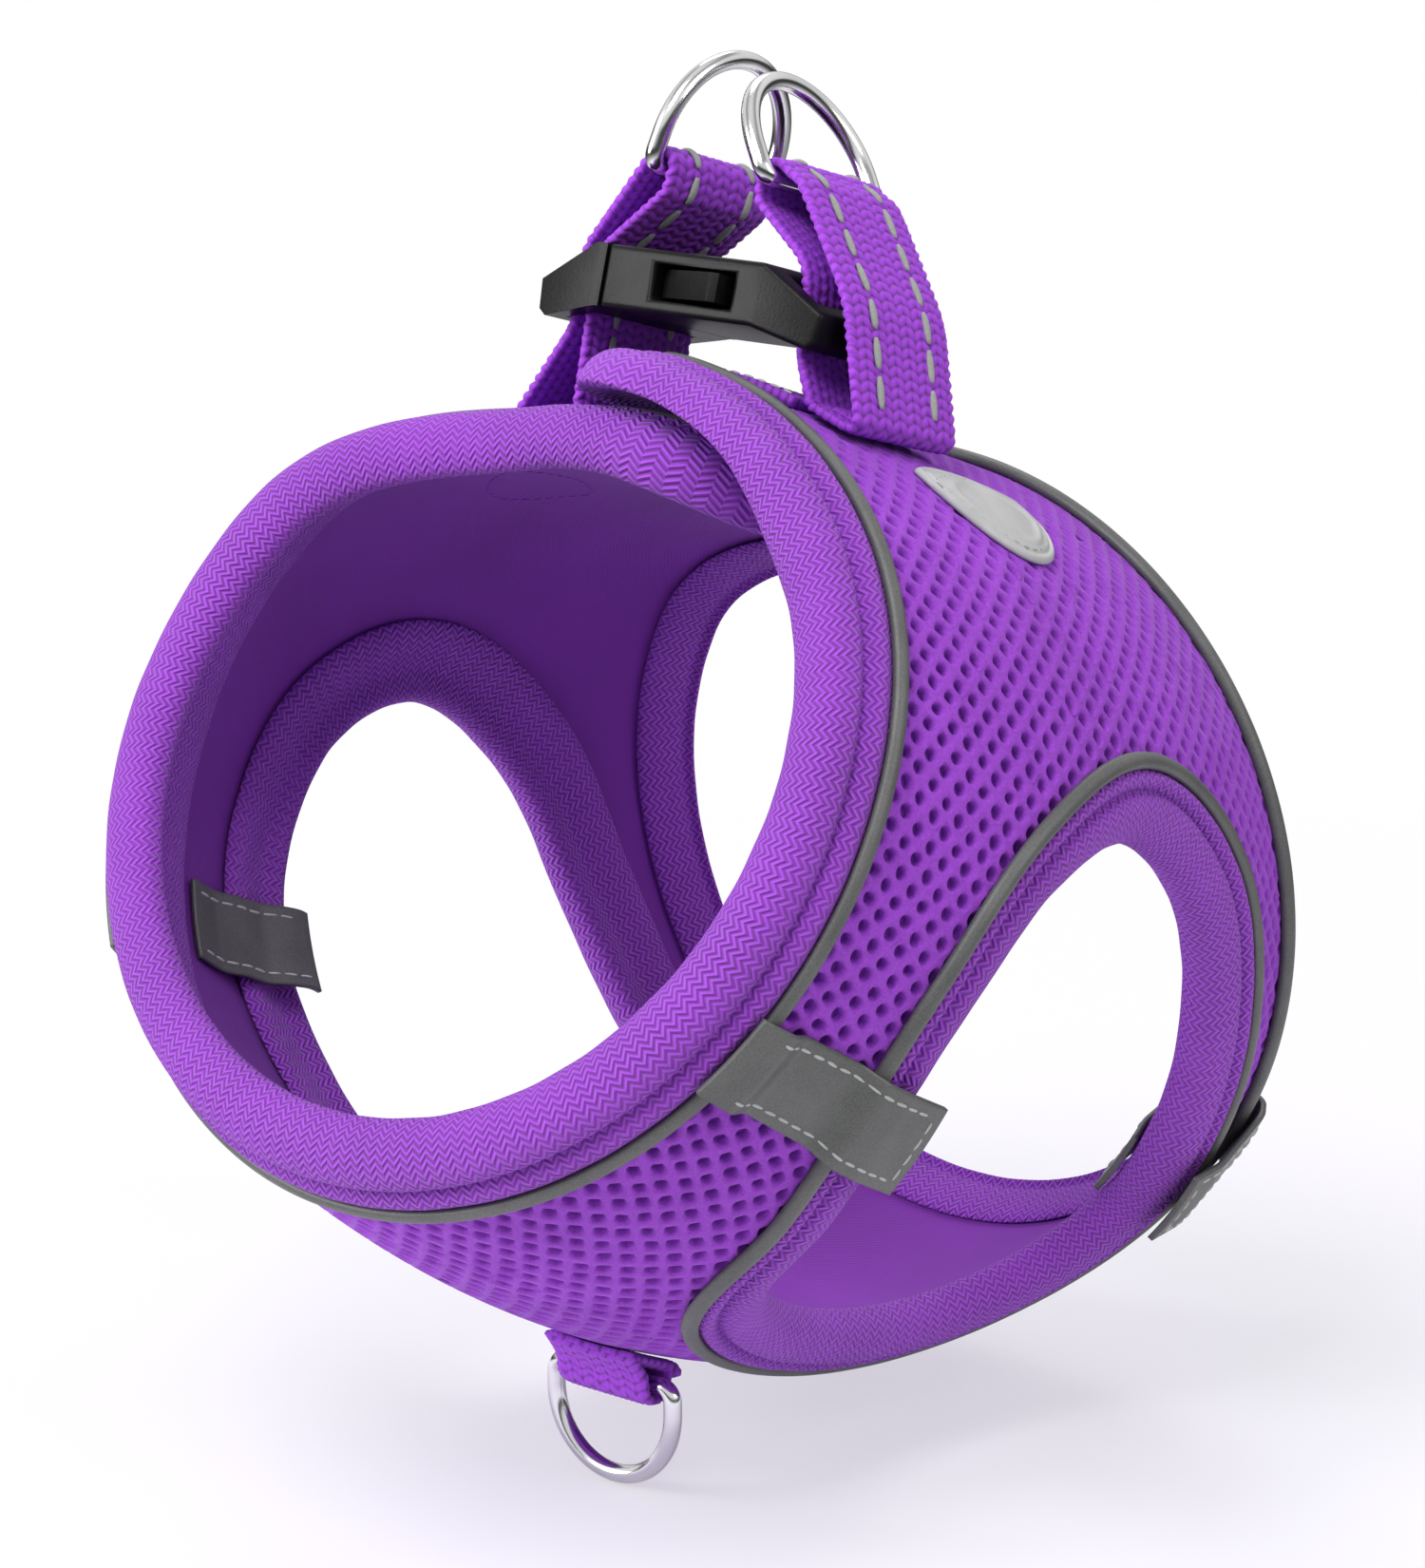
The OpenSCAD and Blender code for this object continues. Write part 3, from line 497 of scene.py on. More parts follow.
def half_sheet(end_g):
    outer = ring_outer()
    hole = leg_towards(outer)
    t = np.linspace(0, 1, RING_ROWS + 1)[:, None, None]
    ring = (outer[None] * (1 - t) + hole[None] * t).reshape(-1, 2)
    i = np.arange(1, FLANK + 1) / FLANK
    gs = RING_G + (end_g + CORNER_G - RING_G) * i
    turn = 90 * np.arange(1, CORNERS + 1) / CORNERS
    gc, vc = end_g + CORNER_G * (1 - sind(turn)), CORNER_V * (1 - cosd(turn))
    g = np.concatenate([gs, gc])
    lo = np.concatenate([np.zeros(FLANK), vc])
    k = np.linspace(0, 1, RING_V + 1)
    v = lo[:, None] * (1 - k) + (1 - lo)[:, None] * k
    grid = np.stack([np.broadcast_to(g[:, None], v.shape), v], -1).reshape(-1, 2)
    return np.concatenate([ring, grid])


def half_sheet_faces():
    faces = []
    for r in range(RING_ROWS):
        for c in range(RING_N):
            c1 = (c + 1) % RING_N
            faces.append((r * RING_N + c, (r + 1) * RING_N + c, (r + 1) * RING_N + c1, r * RING_N + c1))
    base = (RING_ROWS + 1) * RING_N

    def at(k, i):
        return i if k == 0 else base + (k - 1) * (RING_V + 1) + i
    for k in range(FLANK + CORNERS):
        for i in range(RING_V):
            faces.append((at(k, i), at(k, i + 1), at(k + 1, i + 1), at(k + 1, i)))
    return faces


def vest_sheet(name, node, t_top, t_bottom, material, lift=None):
    left = half_sheet(-FLAP_OVER)
    right = half_sheet(-FLAP_UNDER)
    right[:, 0] = 360 - right[:, 0]
    q = np.concatenate([left, right])
    n = len(left)
    faces = half_sheet_faces()
    first, last = RING_V + RING_F, 2 * RING_V + RING_F
    to_right = [i if first <= i <= last else i + n for i in range(n)]
    faces = faces + [tuple(to_right[i] for i in reversed(f)) for f in faces]
    extra = lift(q) if lift is not None else 0
    top = over(q[:, 0], q[:, 1], t_top + extra)
    bottom = over(q[:, 0], q[:, 1], t_bottom + extra)
    edges = {}
    for f in faces:
        for a, b in zip(f, f[1:] + f[:1]):
            edges[(a, b)] = 1
    rim = [(a, b) for a, b in edges if (b, a) not in edges]
    N = len(q)
    all_faces = faces + [tuple(i + N for i in reversed(f)) for f in faces] + [(b, a, a + N, b + N) for a, b in rim]
    uv = np.stack([q[:, 0] * MM_G, q[:, 1] * MM_V], -1)
    obj = add_mesh(name, np.concatenate([top, bottom]), all_faces, material, np.concatenate([uv, uv]))
    bm = bmesh.new()
    bm.from_mesh(obj.data)
    bmesh.ops.delete(bm, geom=[v for v in bm.verts if not v.link_faces], context="VERTS")
    bmesh.ops.recalc_face_normals(bm, faces=bm.faces)
    bm.to_mesh(obj.data)
    bm.free()
    if node:
        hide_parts(node)
    area = float(np.sum([np.linalg.norm(np.cross(top[f[1]] - top[f[0]], top[f[2]] - top[f[0]])) for f in faces])) * 1e-6
    return obj, area


backing, cloth_area = vest_sheet("mesh_backing", None, -1.25, -MESH_T, M_BACKING)
lining, lining_area = vest_sheet("lining_cloth", "lining", -MESH_T - 0.2, -SKIN_T, M_LINING)

# ---- the air mesh: a net of staggered oval holes ------------------------------------------------------------------
PITCH_G, PITCH_V = 4.0, 4.1
HOLE_G, HOLE_V = 1.0, 0.82


def row_length(g):
    """Length of the skin from neck to rear at angle g"""
    v = np.linspace(0, 1, 9)
    p = skin(np.asarray(g)[..., None], v)
    return np.linalg.norm(np.diff(p, axis=-2), axis=-1).sum(-1)


G_TABLE = np.arange(-25, 385.5, 0.5)
L_TABLE = row_length(G_TABLE)


def flat_to_skin(x, y):
    g = x / MM_G
    return g, 0.5 + y / np.interp(g, G_TABLE, L_TABLE)


def signed_distance(points, poly):
    """Distance to a closed polygon, positive inside"""
    a, b = poly, np.roll(poly, -1, 0)
    best = np.full(len(points), 1e9)
    inside = np.zeros(len(points), bool)
    for p, q in zip(a, b):
        d = q - p
        t = np.clip(((points - p) @ d) / max(d @ d, 1e-12), 0, 1)
        best = np.minimum(best, np.linalg.norm(points - p - t[:, None] * d, axis=1))
        cross = (p[1] > points[:, 1]) != (q[1] > points[:, 1])
        with np.errstate(divide="ignore", invalid="ignore"):
            x = p[0] + (points[:, 1] - p[1]) * (q[0] - p[0]) / (q[1] - p[1])
        inside ^= cross & (points[:, 0] < x)
    return np.where(inside, best, -best)


def to_flat(line):
    return np.stack([line[:, 0] * MM_G, (line[:, 1] - 0.5) * np.interp(line[:, 0], G_TABLE, L_TABLE)], -1)


def build_net():
    left_leg = to_flat(leg_line(90))
    right_leg = to_flat(np.stack([360 - leg_line(90)[:, 0], leg_line(90)[:, 1]], -1))
    outline = to_flat(np.concatenate([whole_edge(0, 1)[::3], whole_edge(1, -1)[::-1][::3]]))
    xs = np.arange(-12 * MM_G, 382 * MM_G, PITCH_G / 2)
    centres = []
    for i, x in enumerate(xs):
        ys = np.arange(-76, 76, PITCH_V) + (PITCH_V / 2 if i % 2 else 0)
        centres.append(np.stack([np.full(len(ys), x), ys], -1))
    centres = np.concatenate(centres)
    keep = signed_distance(centres, outline) > 0.2
    centres = centres[keep]
    keep = (signed_distance(centres, left_leg) < -0.2) & (signed_distance(centres, right_leg) < -0.2)
    centres = centres[keep]
    k = 16
    th = np.arange(k) * 2 * math.pi / k
    c, s = np.cos(th), np.sin(th)
    edge = 1 / (np.abs(c) + np.abs(s))
    diamond = np.stack([PITCH_G / 2 * c * edge, PITCH_V / 2 * s * edge], -1)
    hole = np.stack([HOLE_G * c, HOLE_V * s], -1)
    rings = [diamond, diamond * 0.52 + hole * 0.48, hole, hole * 0.86]
    heights = [0.16, 0.20, -0.18, -1.3]
    jig = rng.normal(0, 1, (len(centres), 4))
    verts, hs = [], []
    for r, (ring, h) in enumerate(zip(rings, heights)):
        shape = ring[None].copy()
        if r >= 1:
            size = 1 + 0.07 * jig[:, :2, None].transpose(0, 2, 1)
            shape = ring[None] * size + 0.09 * jig[:, None, 2:]
        pts = centres[:, None] + shape
        verts.append(np.broadcast_to(pts, (len(centres), k, 2)))
        extra = 0.10 * np.abs(c) ** 2 if r == 0 else 0
        hs.append(np.broadcast_to(h - extra, (len(centres), k)))
    verts, hs = np.stack(verts, 1), np.stack(hs, 1)               # n, 4, k
    n = len(centres)
    ids = np.arange(n * 4 * k).reshape(n, 4, k)
    faces = []
    for r in range(3):
        a, b = ids[:, r], ids[:, r + 1]
        faces.append(np.stack([a, np.roll(a, -1, 1), np.roll(b, -1, 1), b], -1).reshape(-1, 4))
    faces = np.concatenate(faces)
    flat, hs = verts.reshape(-1, 2), hs.reshape(-1)
    key = np.round(flat / 0.02).astype(np.int64)
    key = key[:, 0] * 1000003 + key[:, 1]
    rank = np.tile(np.repeat(np.arange(4), k), n)
    key = np.where(rank == 0, key, np.arange(len(key)) + 10 ** 14)
    _, first, back_to = np.unique(key, return_index=True, return_inverse=True)
    faces = back_to.reshape(-1)[faces]
    flat, hs = flat[first], hs[first]
    g, v = flat_to_skin(flat[:, 0], flat[:, 1])
    pts = over(g, v, hs)
    obj = add_mesh("air_mesh_net", pts, faces, M_MESH, flat)
    fix_normals(obj)
    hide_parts("outer_mesh")
    return obj


net = build_net()

# ---- padded edgings and piping ------------------------------------------------------------------------------------
FLAT_CURL = 0.1


def curl_at(g):
    return FLAT_CURL + (1 - FLAT_CURL) * smooth((g - 22) / 26)


def edging_profile(lip, drop, flange, ridge, curl):
    """Ridge beside the piping, groove, main roll, inner groove and flange on the lining"""
    d = drop / 7.6
    r = lip - ridge
    ctrl = np.array([
        [-0.9, 0.15], [0.1, 0.55], [ridge * 0.30, 1.25], [ridge * 0.62, 1.30], [ridge * 0.90, 0.45], [ridge * 1.02, -0.2],
        [ridge + r * 0.16, 0.62], [ridge + r * 0.38, 0.72], [ridge + r * 0.66, -0.1], [ridge + r * 0.88, -1.6 * d],
        [lip, -3.8 * d], [lip * 0.985, -5.6 * d], [lip * 0.90, -7.1 * d], [lip * 0.74, -7.6 * d],
        [lip * 0.58, -6.9 * d], [lip * 0.44, -SKIN_T - 2.2 * d], [lip * 0.26, -SKIN_T - 1.7], [0, -SKIN_T - 1.9],
        [-flange * 0.5, -SKIN_T - 1.8], [-flange * 0.9, -SKIN_T - 1.3], [-flange, -SKIN_T - 0.55], [-flange * 0.7, -SKIN_T - 0.3],
        [-0.9, -SKIN_T - 0.2], [-0.9, -SKIN_T * 0.5]])
    low = -SKIN_T - 1.0
    h = ctrl[:, 1]
    ctrl[:, 1] = np.where(h < low, low + (h - low) * curl, h)
    return spline_points(ctrl, 3)


def neck_profile(g):
    return edging_profile(9.4, 7.6, 6.0, 3.6, curl_at(g))


def rear_profile(g):
    return edging_profile(3.0, 5.6, 5.5, 1.1, curl_at(g))


def leg_profile(g):
    return edging_profile(8.6, 6.2, 3.5, 2.6, 1.0)


NECK_LINE, REAR_LINE = whole_edge(0, 1), whole_edge(1, -1)[::-1]
LEFT_LEG = leg_line(240)
RIGHT_LEG = np.stack([360 - LEFT_LEG[::-1, 0], LEFT_LEG[::-1, 1]], -1)
for name, node, line, profile, closed in (
        ("neck_roll", "neck_binding", NECK_LINE, neck_profile, False),
        ("rear_roll", "rear_binding", REAR_LINE, rear_profile, False),
        ("left_leg_roll", "left_leg_binding", LEFT_LEG, leg_profile, True),
        ("right_leg_roll", "right_leg_binding", RIGHT_LEG, leg_profile, True)):
    roll = sweep_edging(name, node, line, profile, M_KNIT, closed, seed=len(name))


def piping_profile(g):
    a = -np.arange(16) * 2 * math.pi / 16
    return np.stack([1.12 * np.cos(a) - 0.95, 0.92 * np.sin(a) + 0.95 + 0.12 * np.cos(a)], -1)


for name, node, line, closed in (
        ("neck_piping_cord", "neck_piping", NECK_LINE, False), ("rear_piping_cord", "rear_piping", REAR_LINE, False),
        ("left_leg_piping_cord", "left_leg_piping", LEFT_LEG, True), ("right_leg_piping_cord", "right_leg_piping", RIGHT_LEG, True)):
    pipe = sweep_edging(name, node, line, piping_profile, M_GREY, closed, seed=3)

# ---- hardware frame on the back: x sideways, y along the back, z off the back ---------------------------------
HW_V, HW_TILT = 0.29, 16.0
HW_AT = skin(0, HW_V)
HW_X, HW_Y = np.array([1.0, 0, 0]), np.array([0, cosd(HW_TILT), -sind(HW_TILT)])
HW_Z = np.array([0, sind(HW_TILT), cosd(HW_TILT)])
WEB_W, WEB_T, RING_D = 20.0, 1.5, 2.4
FOLD_X, FOLD_H, BAR_GAP = 9.3, 26.0, 0.2
FOLD_R = RING_D / 2 + BAR_GAP + WEB_T / 2
BUCKLE_END, BUCKLE_H, SLOT_IN, SLOT_OUT = 22.8, 11.3, 15.2, 19.8
RING_REACH, LEFT_LEAN, RIGHT_LEAN = 17.0, 33.0, 12.0


def hw(x, y, z):
    x, y, z = np.broadcast_arrays(np.asarray(x, float), np.asarray(y, float), np.asarray(z, float))
    return HW_AT + x[..., None] * HW_X + y[..., None] * HW_Y + z[..., None] * HW_Z


def hw_point(g, lift):
    p = over(np.array([g]), np.array([HW_V]), np.array([lift]))[0] - HW_AT
    return float(p[0]), float(p @ HW_Z)


def evenly(path, step):
    """A polyline's points at even spacing, and their distances along it"""
    path = np.asarray(path, float)
    s = np.concatenate([[0], np.cumsum(np.linalg.norm(np.diff(path, axis=0), axis=1))])
    at = np.linspace(0, s[-1], max(4, int(round(s[-1] / step)) + 1))
    return np.stack([np.interp(at, s, path[:, k]) for k in range(path.shape[1])], -1), at


def shell(name, top, bottom, material, body="vest", uv=None):
    """A closed sheet between two grids of points"""
    n, m = top.shape[:2]
    N = n * m
    grid = grid_faces(n, m)
    rim = ([j for j in range(m)] + [i * m + m - 1 for i in range(1, n)]
           + [(n - 1) * m + j for j in range(m - 2, -1, -1)] + [i * m for i in range(n - 2, 0, -1)])
    walls = [(a, b, b + N, a + N) for a, b in zip(rim, rim[1:] + rim[:1])]
    faces = [tuple(f) for f in grid] + [tuple(i + N for i in f[::-1]) for f in grid] + walls
    if uv is None:
        u = np.linspace(0, 1, n)[:, None] * np.linalg.norm(np.diff(top[:, m // 2], axis=0), axis=1).sum()
        w = np.linspace(0, 1, m)[None] * np.linalg.norm(np.diff(top[n // 2], axis=0), axis=1).sum()
        uv = np.stack(np.broadcast_arrays(u, w), -1)
    both = np.concatenate([uv.reshape(-1, 2)] * 2)
    obj = add_mesh(name, np.concatenate([top.reshape(-1, 3), bottom.reshape(-1, 3)]), faces, material, both, body)
    fix_normals(obj)
    return obj


def woven(s, w, rib, depth):
    """Height of a weave of V-shaped picks between ribs that run along the strap"""
    pick = np.abs(np.sin(np.pi * (s + 0.5 * np.abs((w / rib) % 2 - 1) * rib) / (rib * 0.92)))
    cord = np.abs(np.sin(np.pi * w / rib))
    return depth * (0.62 * pick * (0.45 + 0.55 * cord) + 0.38 * cord)


def strap(name, path, side, material, body, width=WEB_W, thick=WEB_T, rib=1.5, depth=0.36, columns=81, step=0.25):
    """A woven strap along a path, its width along side. Returns it with its points, outward faces and distances"""
    p, s = evenly(path, step)
    along = unit(np.gradient(p, axis=0))
    side = unit(np.broadcast_to(np.asarray(side, float), p.shape))
    out = unit(np.cross(side, along))
    x = np.linspace(-1, 1, columns)
    S, W = np.meshgrid(s, x * width / 2, indexing="ij")
    scallop = 1 + 0.03 * np.abs(np.sin(np.pi * S / rib)) * np.abs(x) ** 6
    h = woven(S, W, rib, depth)
    half = (thick / 2 - depth * 0.8) * np.sqrt(np.maximum(0.06, 1 - x ** 10))[None]
    middle = p[:, None] + side[:, None] * (W * scallop)[..., None]
    up, down = half + h, half + woven(S + rib / 2, W, rib, depth)
    top, bottom = middle + out[:, None] * up[..., None], middle - out[:, None] * down[..., None]
    obj = shell(name, top, bottom, material, body, np.stack([S, W], -1))
    return obj, p, out, s


def stitches(name, lines, material, body, dash, pitch, width, height, seed=5):
    """Raised dashes of thread along lines given as (points, normals)"""
    r = np.random.default_rng(seed)
    u = np.linspace(-1, 1, 9)
    fat = np.maximum(0.3, (1 - np.abs(u) ** 3.0)) ** 0.5
    th = np.arange(8) * 2 * math.pi / 8
    verts, faces, base = [], [], 0
    for points, normals in lines:
        d = np.linalg.norm(np.diff(points, axis=0), axis=1)
        s = np.concatenate([[0], np.cumsum(d)])
        along = unit(np.gradient(points, axis=0))
        for s0 in np.arange(pitch / 2, s[-1] - dash / 2, pitch):
            at = s0 + u * dash / 2 * r.uniform(0.92, 1.06)
            c = np.stack([np.interp(at, s, points[:, k]) for k in range(3)], -1)
            n = unit(np.stack([np.interp(at, s, normals[:, k]) for k in range(3)], -1))
            t = unit(np.stack([np.interp(at, s, along[:, k]) for k in range(3)], -1))
            side = np.cross(t, n)
            lean = r.uniform(-0.05, 0.05) * u[:, None] * side
            ring = (side[:, None] * (np.cos(th) * width / 2)[None, :, None]
                    + n[:, None] * (np.sin(th) * height)[None, :, None]) * fat[:, None, None]
            verts.append((c + lean)[:, None] + ring)
            faces += [tuple(f + base) for f in grid_faces(9, 8, False, True)]
            faces += [tuple(range(base + 7, base - 1, -1)), tuple(range(base + 64, base + 72))]
            base += 72
    obj = add_mesh(name, np.concatenate([v.reshape(-1, 3) for v in verts]), faces, material, None, body)
    fix_normals(obj)
    return obj


def on_strap(p, out, side, w, lift, lo=0.0, hi=1.0):
    """A line along a strap, w from its middle and lift off its outer face"""
    a, b = int(len(p) * lo), max(int(len(p) * hi), 4)
    side = unit(np.asarray(side, float))
    return p[a:b] + side * w + out[a:b] * lift, out[a:b]


# ---- the two webbing loops -------------------------------------------------------------------------------------
def rounded(points, width, soft=None, per_mm=6):
    """A polyline with its corners eased over a width, or over soft away from the fold round a ring's bar"""
    p, _ = evenly(points, 1 / per_mm)
    k = int(width * per_mm) // 2 * 2 + 1
    q = blur(p, k)
    if soft:
        far = smooth((np.linalg.norm(p - np.array([FOLD_X, FOLD_H]), axis=1) - 3.0) / 4.0)[:, None]
        ends = np.minimum(np.arange(len(p)), np.arange(len(p))[::-1]) / (soft * per_mm)
        far = far * smooth(ends)[:, None]
        q = q * (1 - far) + blur(p, int(soft * per_mm) // 2 * 2 + 1) * far
    return np.concatenate([p[:1], q[k // 2: len(q) - k // 2], p[-1:]])


BASE_LIFT = 1.75
LEFT_OUT, LEFT_IN = hw_point(30.0, BASE_LIFT), hw_point(21.5, BASE_LIFT)
RIGHT_OUT, RIGHT_IN = hw_point(330.5, BASE_LIFT), hw_point(341.5, BASE_LIFT)


def fold(first):
    a = np.arange(first, 181, 12)
    return [(FOLD_X + FOLD_R * cosd(t), FOLD_H + FOLD_R * sind(t)) for t in a]


left_flat = rounded([LEFT_IN, LEFT_OUT, (BUCKLE_END + 1.2, BUCKLE_H + 1), (FOLD_X + 4.4, FOLD_H + 2.2 - FOLD_R)]
                    + fold(35) + [(FOLD_X - FOLD_R + 0.4, FOLD_H - 3), (SLOT_IN + 2, BUCKLE_H + 4.6),
                                  (SLOT_IN + 2.8, BUCKLE_H - 6), LEFT_IN], 1.6, 6.0)
edge_gap = GAP + WEB_T / 2
right_flat = rounded([(-RIGHT_IN[0], RIGHT_IN[1]), (-RIGHT_OUT[0], RIGHT_OUT[1]), (SLOT_OUT - edge_gap, BUCKLE_H - 6.7),
                      (SLOT_OUT - edge_gap, BUCKLE_H + 3.6)] + fold(29)
                     + [(FOLD_X - FOLD_R + 0.4, FOLD_H - 3), (SLOT_IN + edge_gap, BUCKLE_H + 3.6),
                        (SLOT_IN + edge_gap, BUCKLE_H - 6.7), (-RIGHT_IN[0], RIGHT_IN[1])], 1.6, 2.4)
left_path = hw(left_flat[:, 0], 0, left_flat[:, 1])
right_path = hw(-right_flat[:, 0], 0, right_flat[:, 1])
for label, path, side, body, nodes in (
        ("left", left_path, HW_Y, "vest", ("left_ring_loop",)),
        ("right", right_path, -HW_Y, None, ("right_ring_loop", "right_loop_foot"))):
    loop, p, out, s = strap(label + "_loop_webbing", path, side, M_WEB, body)
    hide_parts(*nodes)
    rows = [on_strap(p, out, side, w, WEB_T / 2 + 0.05, 0.12, 0.93) for w in (-5.5, 5.5)]
    sewn = stitches(label + "_loop_stitches", rows, M_THREAD, body, 4.0, 5.0, 1.25, 0.36)
    if label == "right":
        low, high = hw(-SLOT_OUT, 0, -5.0) * MM, hw(-SLOT_OUT, 0, BUCKLE_H - 6.9) * MM
        for piece in (loop, sewn):
            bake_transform(piece)


def bartack(name, node, outer, inner, share, mirror):
    """A dense bar of zigzag stitching across the end of a loop"""
    a, b = np.array(outer), np.array(inner)
    mid = a + (b - a) * share
    d = (b - a) / np.linalg.norm(b - a)
    up = np.array([d[1], -d[0]])
    up = up if up[1] > 0 else -up
    U, V = np.meshgrid(np.linspace(-2.0, 2.0, 34), np.linspace(-8.6, 8.6, 150), indexing="ij")
    h = 0.28 + 0.22 * np.abs(np.sin(np.pi * (V / 0.55 + np.abs(U) * 0.8))) + 0.08 * rng.normal(0, 1, U.shape)
    lip = np.minimum(1, (2.0 - np.abs(U)) / 0.5 + 0.15)
    base = mid + up * (WEB_T / 2)
    x, z = base[0] + d[0] * U, base[1] + d[1] * U
    top = hw(x + up[0] * h * lip, V, z + up[1] * h * lip)
    bottom = hw(x - up[0] * 0.1, V, z - up[1] * 0.1)
    obj = shell(name, top, bottom, M_PURPLE_THREAD, "vest")
    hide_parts(node)
    return obj


bartack("left_bartack_thread", "left_loop_bartack", LEFT_OUT, LEFT_IN, 0.5, False)
bartack("right_bartack_thread", "right_loop_bartack", RIGHT_OUT, RIGHT_IN, 0.66, True)

# ---- pieces that lie on the skin ---------------------------------------------------------------------------------
def on_skin(name, node, g, v, lift, thick, material, extra=0.0):
    """A closed piece over grids of g, v and lift"""
    def at(t):
        return over(g.ravel(), v.ravel(), t.ravel()).reshape(g.shape + (3,))
    obj = shell(name, at(lift + thick + extra), at(lift + np.zeros_like(g)), material)
    if node:
        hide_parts(node)
    return obj


def skin_line(g, v, lift):
    g, v, lift = np.broadcast_arrays(*(np.asarray(a, float) for a in (g, v, lift)))
    return over(g, v, lift), skin_n(g, v)


M_PALE = fabric_material("pale_thread", (0.42, 0.43, 0.42), 3000, 0.05)
OVER_PIPING = 2.6
BAND_G, BAND_W, BAND_SKEW, BAND_END = 114.0, 11.5, 4.5, 0.265
BAND_V = np.array([-0.014, 0, 0.03, 0.055, 0.14, 0.165, 0.2, BAND_END])
BAND_LIFT = np.array([2.3, OVER_PIPING, OVER_PIPING, GAP, GAP, OVER_PIPING, OVER_PIPING, 1.5])


INNER_V = np.array([0.072, 0.12, 0.145, 0.175, 0.2, 0.22, 0.236])
INNER_LIFT = -SKIN_T - np.array([1.1, 1.1, 2.6, 3.2, 5.4, 6.6, 6.6])


def band_lift(v):
    fine = np.linspace(BAND_V[0], BAND_V[-1], 400)
    return np.interp(v, fine, blur(np.interp(fine, BAND_V, BAND_LIFT)[:, None], 17)[:, 0])


BADGE_G, BADGE_V, BADGE_L, BADGE_W = 35.0, 0.275, 0.28, 13.5


def badge_grid(s, t):
    x = 2 * s - 1
    bulge = np.sqrt(np.maximum(0, 1.04 - x * x))
    return BADGE_G + 2 * s + bulge * (BADGE_W * t - 3 * (1 - t)), BADGE_V + BADGE_L * s


def mirror_g(g, left):
    return g if left else 360 - g


for side_name, left in (("left", True), ("right", False)):
    # reflective band over the pipings
    V, A = np.meshgrid(np.linspace(BAND_V[0], BAND_V[-1], 120), np.linspace(0, 1, 26), indexing="ij")
    G = mirror_g(BAND_G + BAND_W * A + BAND_SKEW * V / BAND_END, left)
    on_skin(side_name + "_band_tape", side_name + "_reflective_band", G, V, band_lift(V), 0.7, M_GREY)
    v = np.linspace(0.02, BAND_END - 0.014, 200)
    rows = []
    for a in (0.13, 0.87):
        rows.append(skin_line(mirror_g(BAND_G + BAND_W * a + BAND_SKEW * v / BAND_END, left), v, band_lift(v) + 0.7))
    a = np.linspace(0.13, 0.87, 60)
    end = np.full(60, BAND_END - 0.014)
    rows.append(skin_line(mirror_g(BAND_G + BAND_W * a + BAND_SKEW, left), end, band_lift(end) + 0.7))
    # its inner end, laid over the lining and the leg roll
    inner_v = np.linspace(INNER_V[0], INNER_V[-1], 90)
    V, A = np.meshgrid(inner_v, np.linspace(0, 1, 26), indexing="ij")
    G = mirror_g(BAND_G + BAND_W * A + BAND_SKEW * V / BAND_END, left)
    depth = blur(np.interp(inner_v, INNER_V, INNER_LIFT)[:, None], 9)[:, 0]
    inner_end = on_skin(side_name + "_band_inner_tape", None, G, V, np.broadcast_to(depth[:, None], G.shape), 0.6, M_GREY)
    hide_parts(side_name + "_reflective_band")
    v = inner_v[6:-6]
    for a in (0.13, 0.87):
        at, away = skin_line(mirror_g(BAND_G + BAND_W * a + BAND_SKEW * v / BAND_END, left), v, depth[6:-6])
        rows.append((at, -away))
    sewn = stitches(side_name + "_band_stitches", rows, M_PALE, "vest", 1.7, 2.35, 0.42, 0.2)
    # badge: a puffed leaf with a sewn border and a plain oval ridge
    Sb, Tb = np.meshgrid(np.linspace(0, 1, 90), np.linspace(0, 1, 64), indexing="ij")
    G, V = badge_grid(Sb, Tb)
    across = np.sqrt(np.maximum(0, 1.04 - (2 * Sb - 1) ** 2))
    edge = np.minimum(np.minimum(Tb, 1 - Tb) * across * 16.0, np.minimum(Sb, 1 - Sb) * 26.0)
    oval = np.hypot((Sb - 0.52) / 0.36, (Tb - 0.5) / 0.33)
    puff = 0.55 * (1 - np.exp(-edge / 0.35)) + 0.30 * np.clip(1 - oval ** 2, 0, 1)
    groove = -0.3 * np.exp(-((edge - 1.25) / 0.3) ** 2)
    ridge = 0.3 * np.exp(-((oval - 1.0) / 0.11) ** 2)
    on_skin(side_name + "_badge_patch", side_name + "_badge", mirror_g(G, left), V, np.full_like(G, GAP), 0.35,
            M_BADGE, puff + groove + ridge)
    ring = np.linspace(0, 2 * math.pi, 220)
    sg, tg = 0.5 + 0.452 * np.cos(ring), 0.5 + 0.5 * np.sin(ring) * 0.80
    G, V = badge_grid(sg, tg)
    sewn = stitches(side_name + "_badge_stitches", [skin_line(mirror_g(G, left), V, GAP + 0.72)], M_THREAD, "vest",
                    1.1, 1.7, 0.4, 0.22)
    inside = stitches(side_name + "_badge_back_stitches", [skin_line(mirror_g(G, left), V, -SKIN_T - 0.02)],
                      M_PURPLE_THREAD, "vest", 1.1, 1.6, 0.34, 0.16)

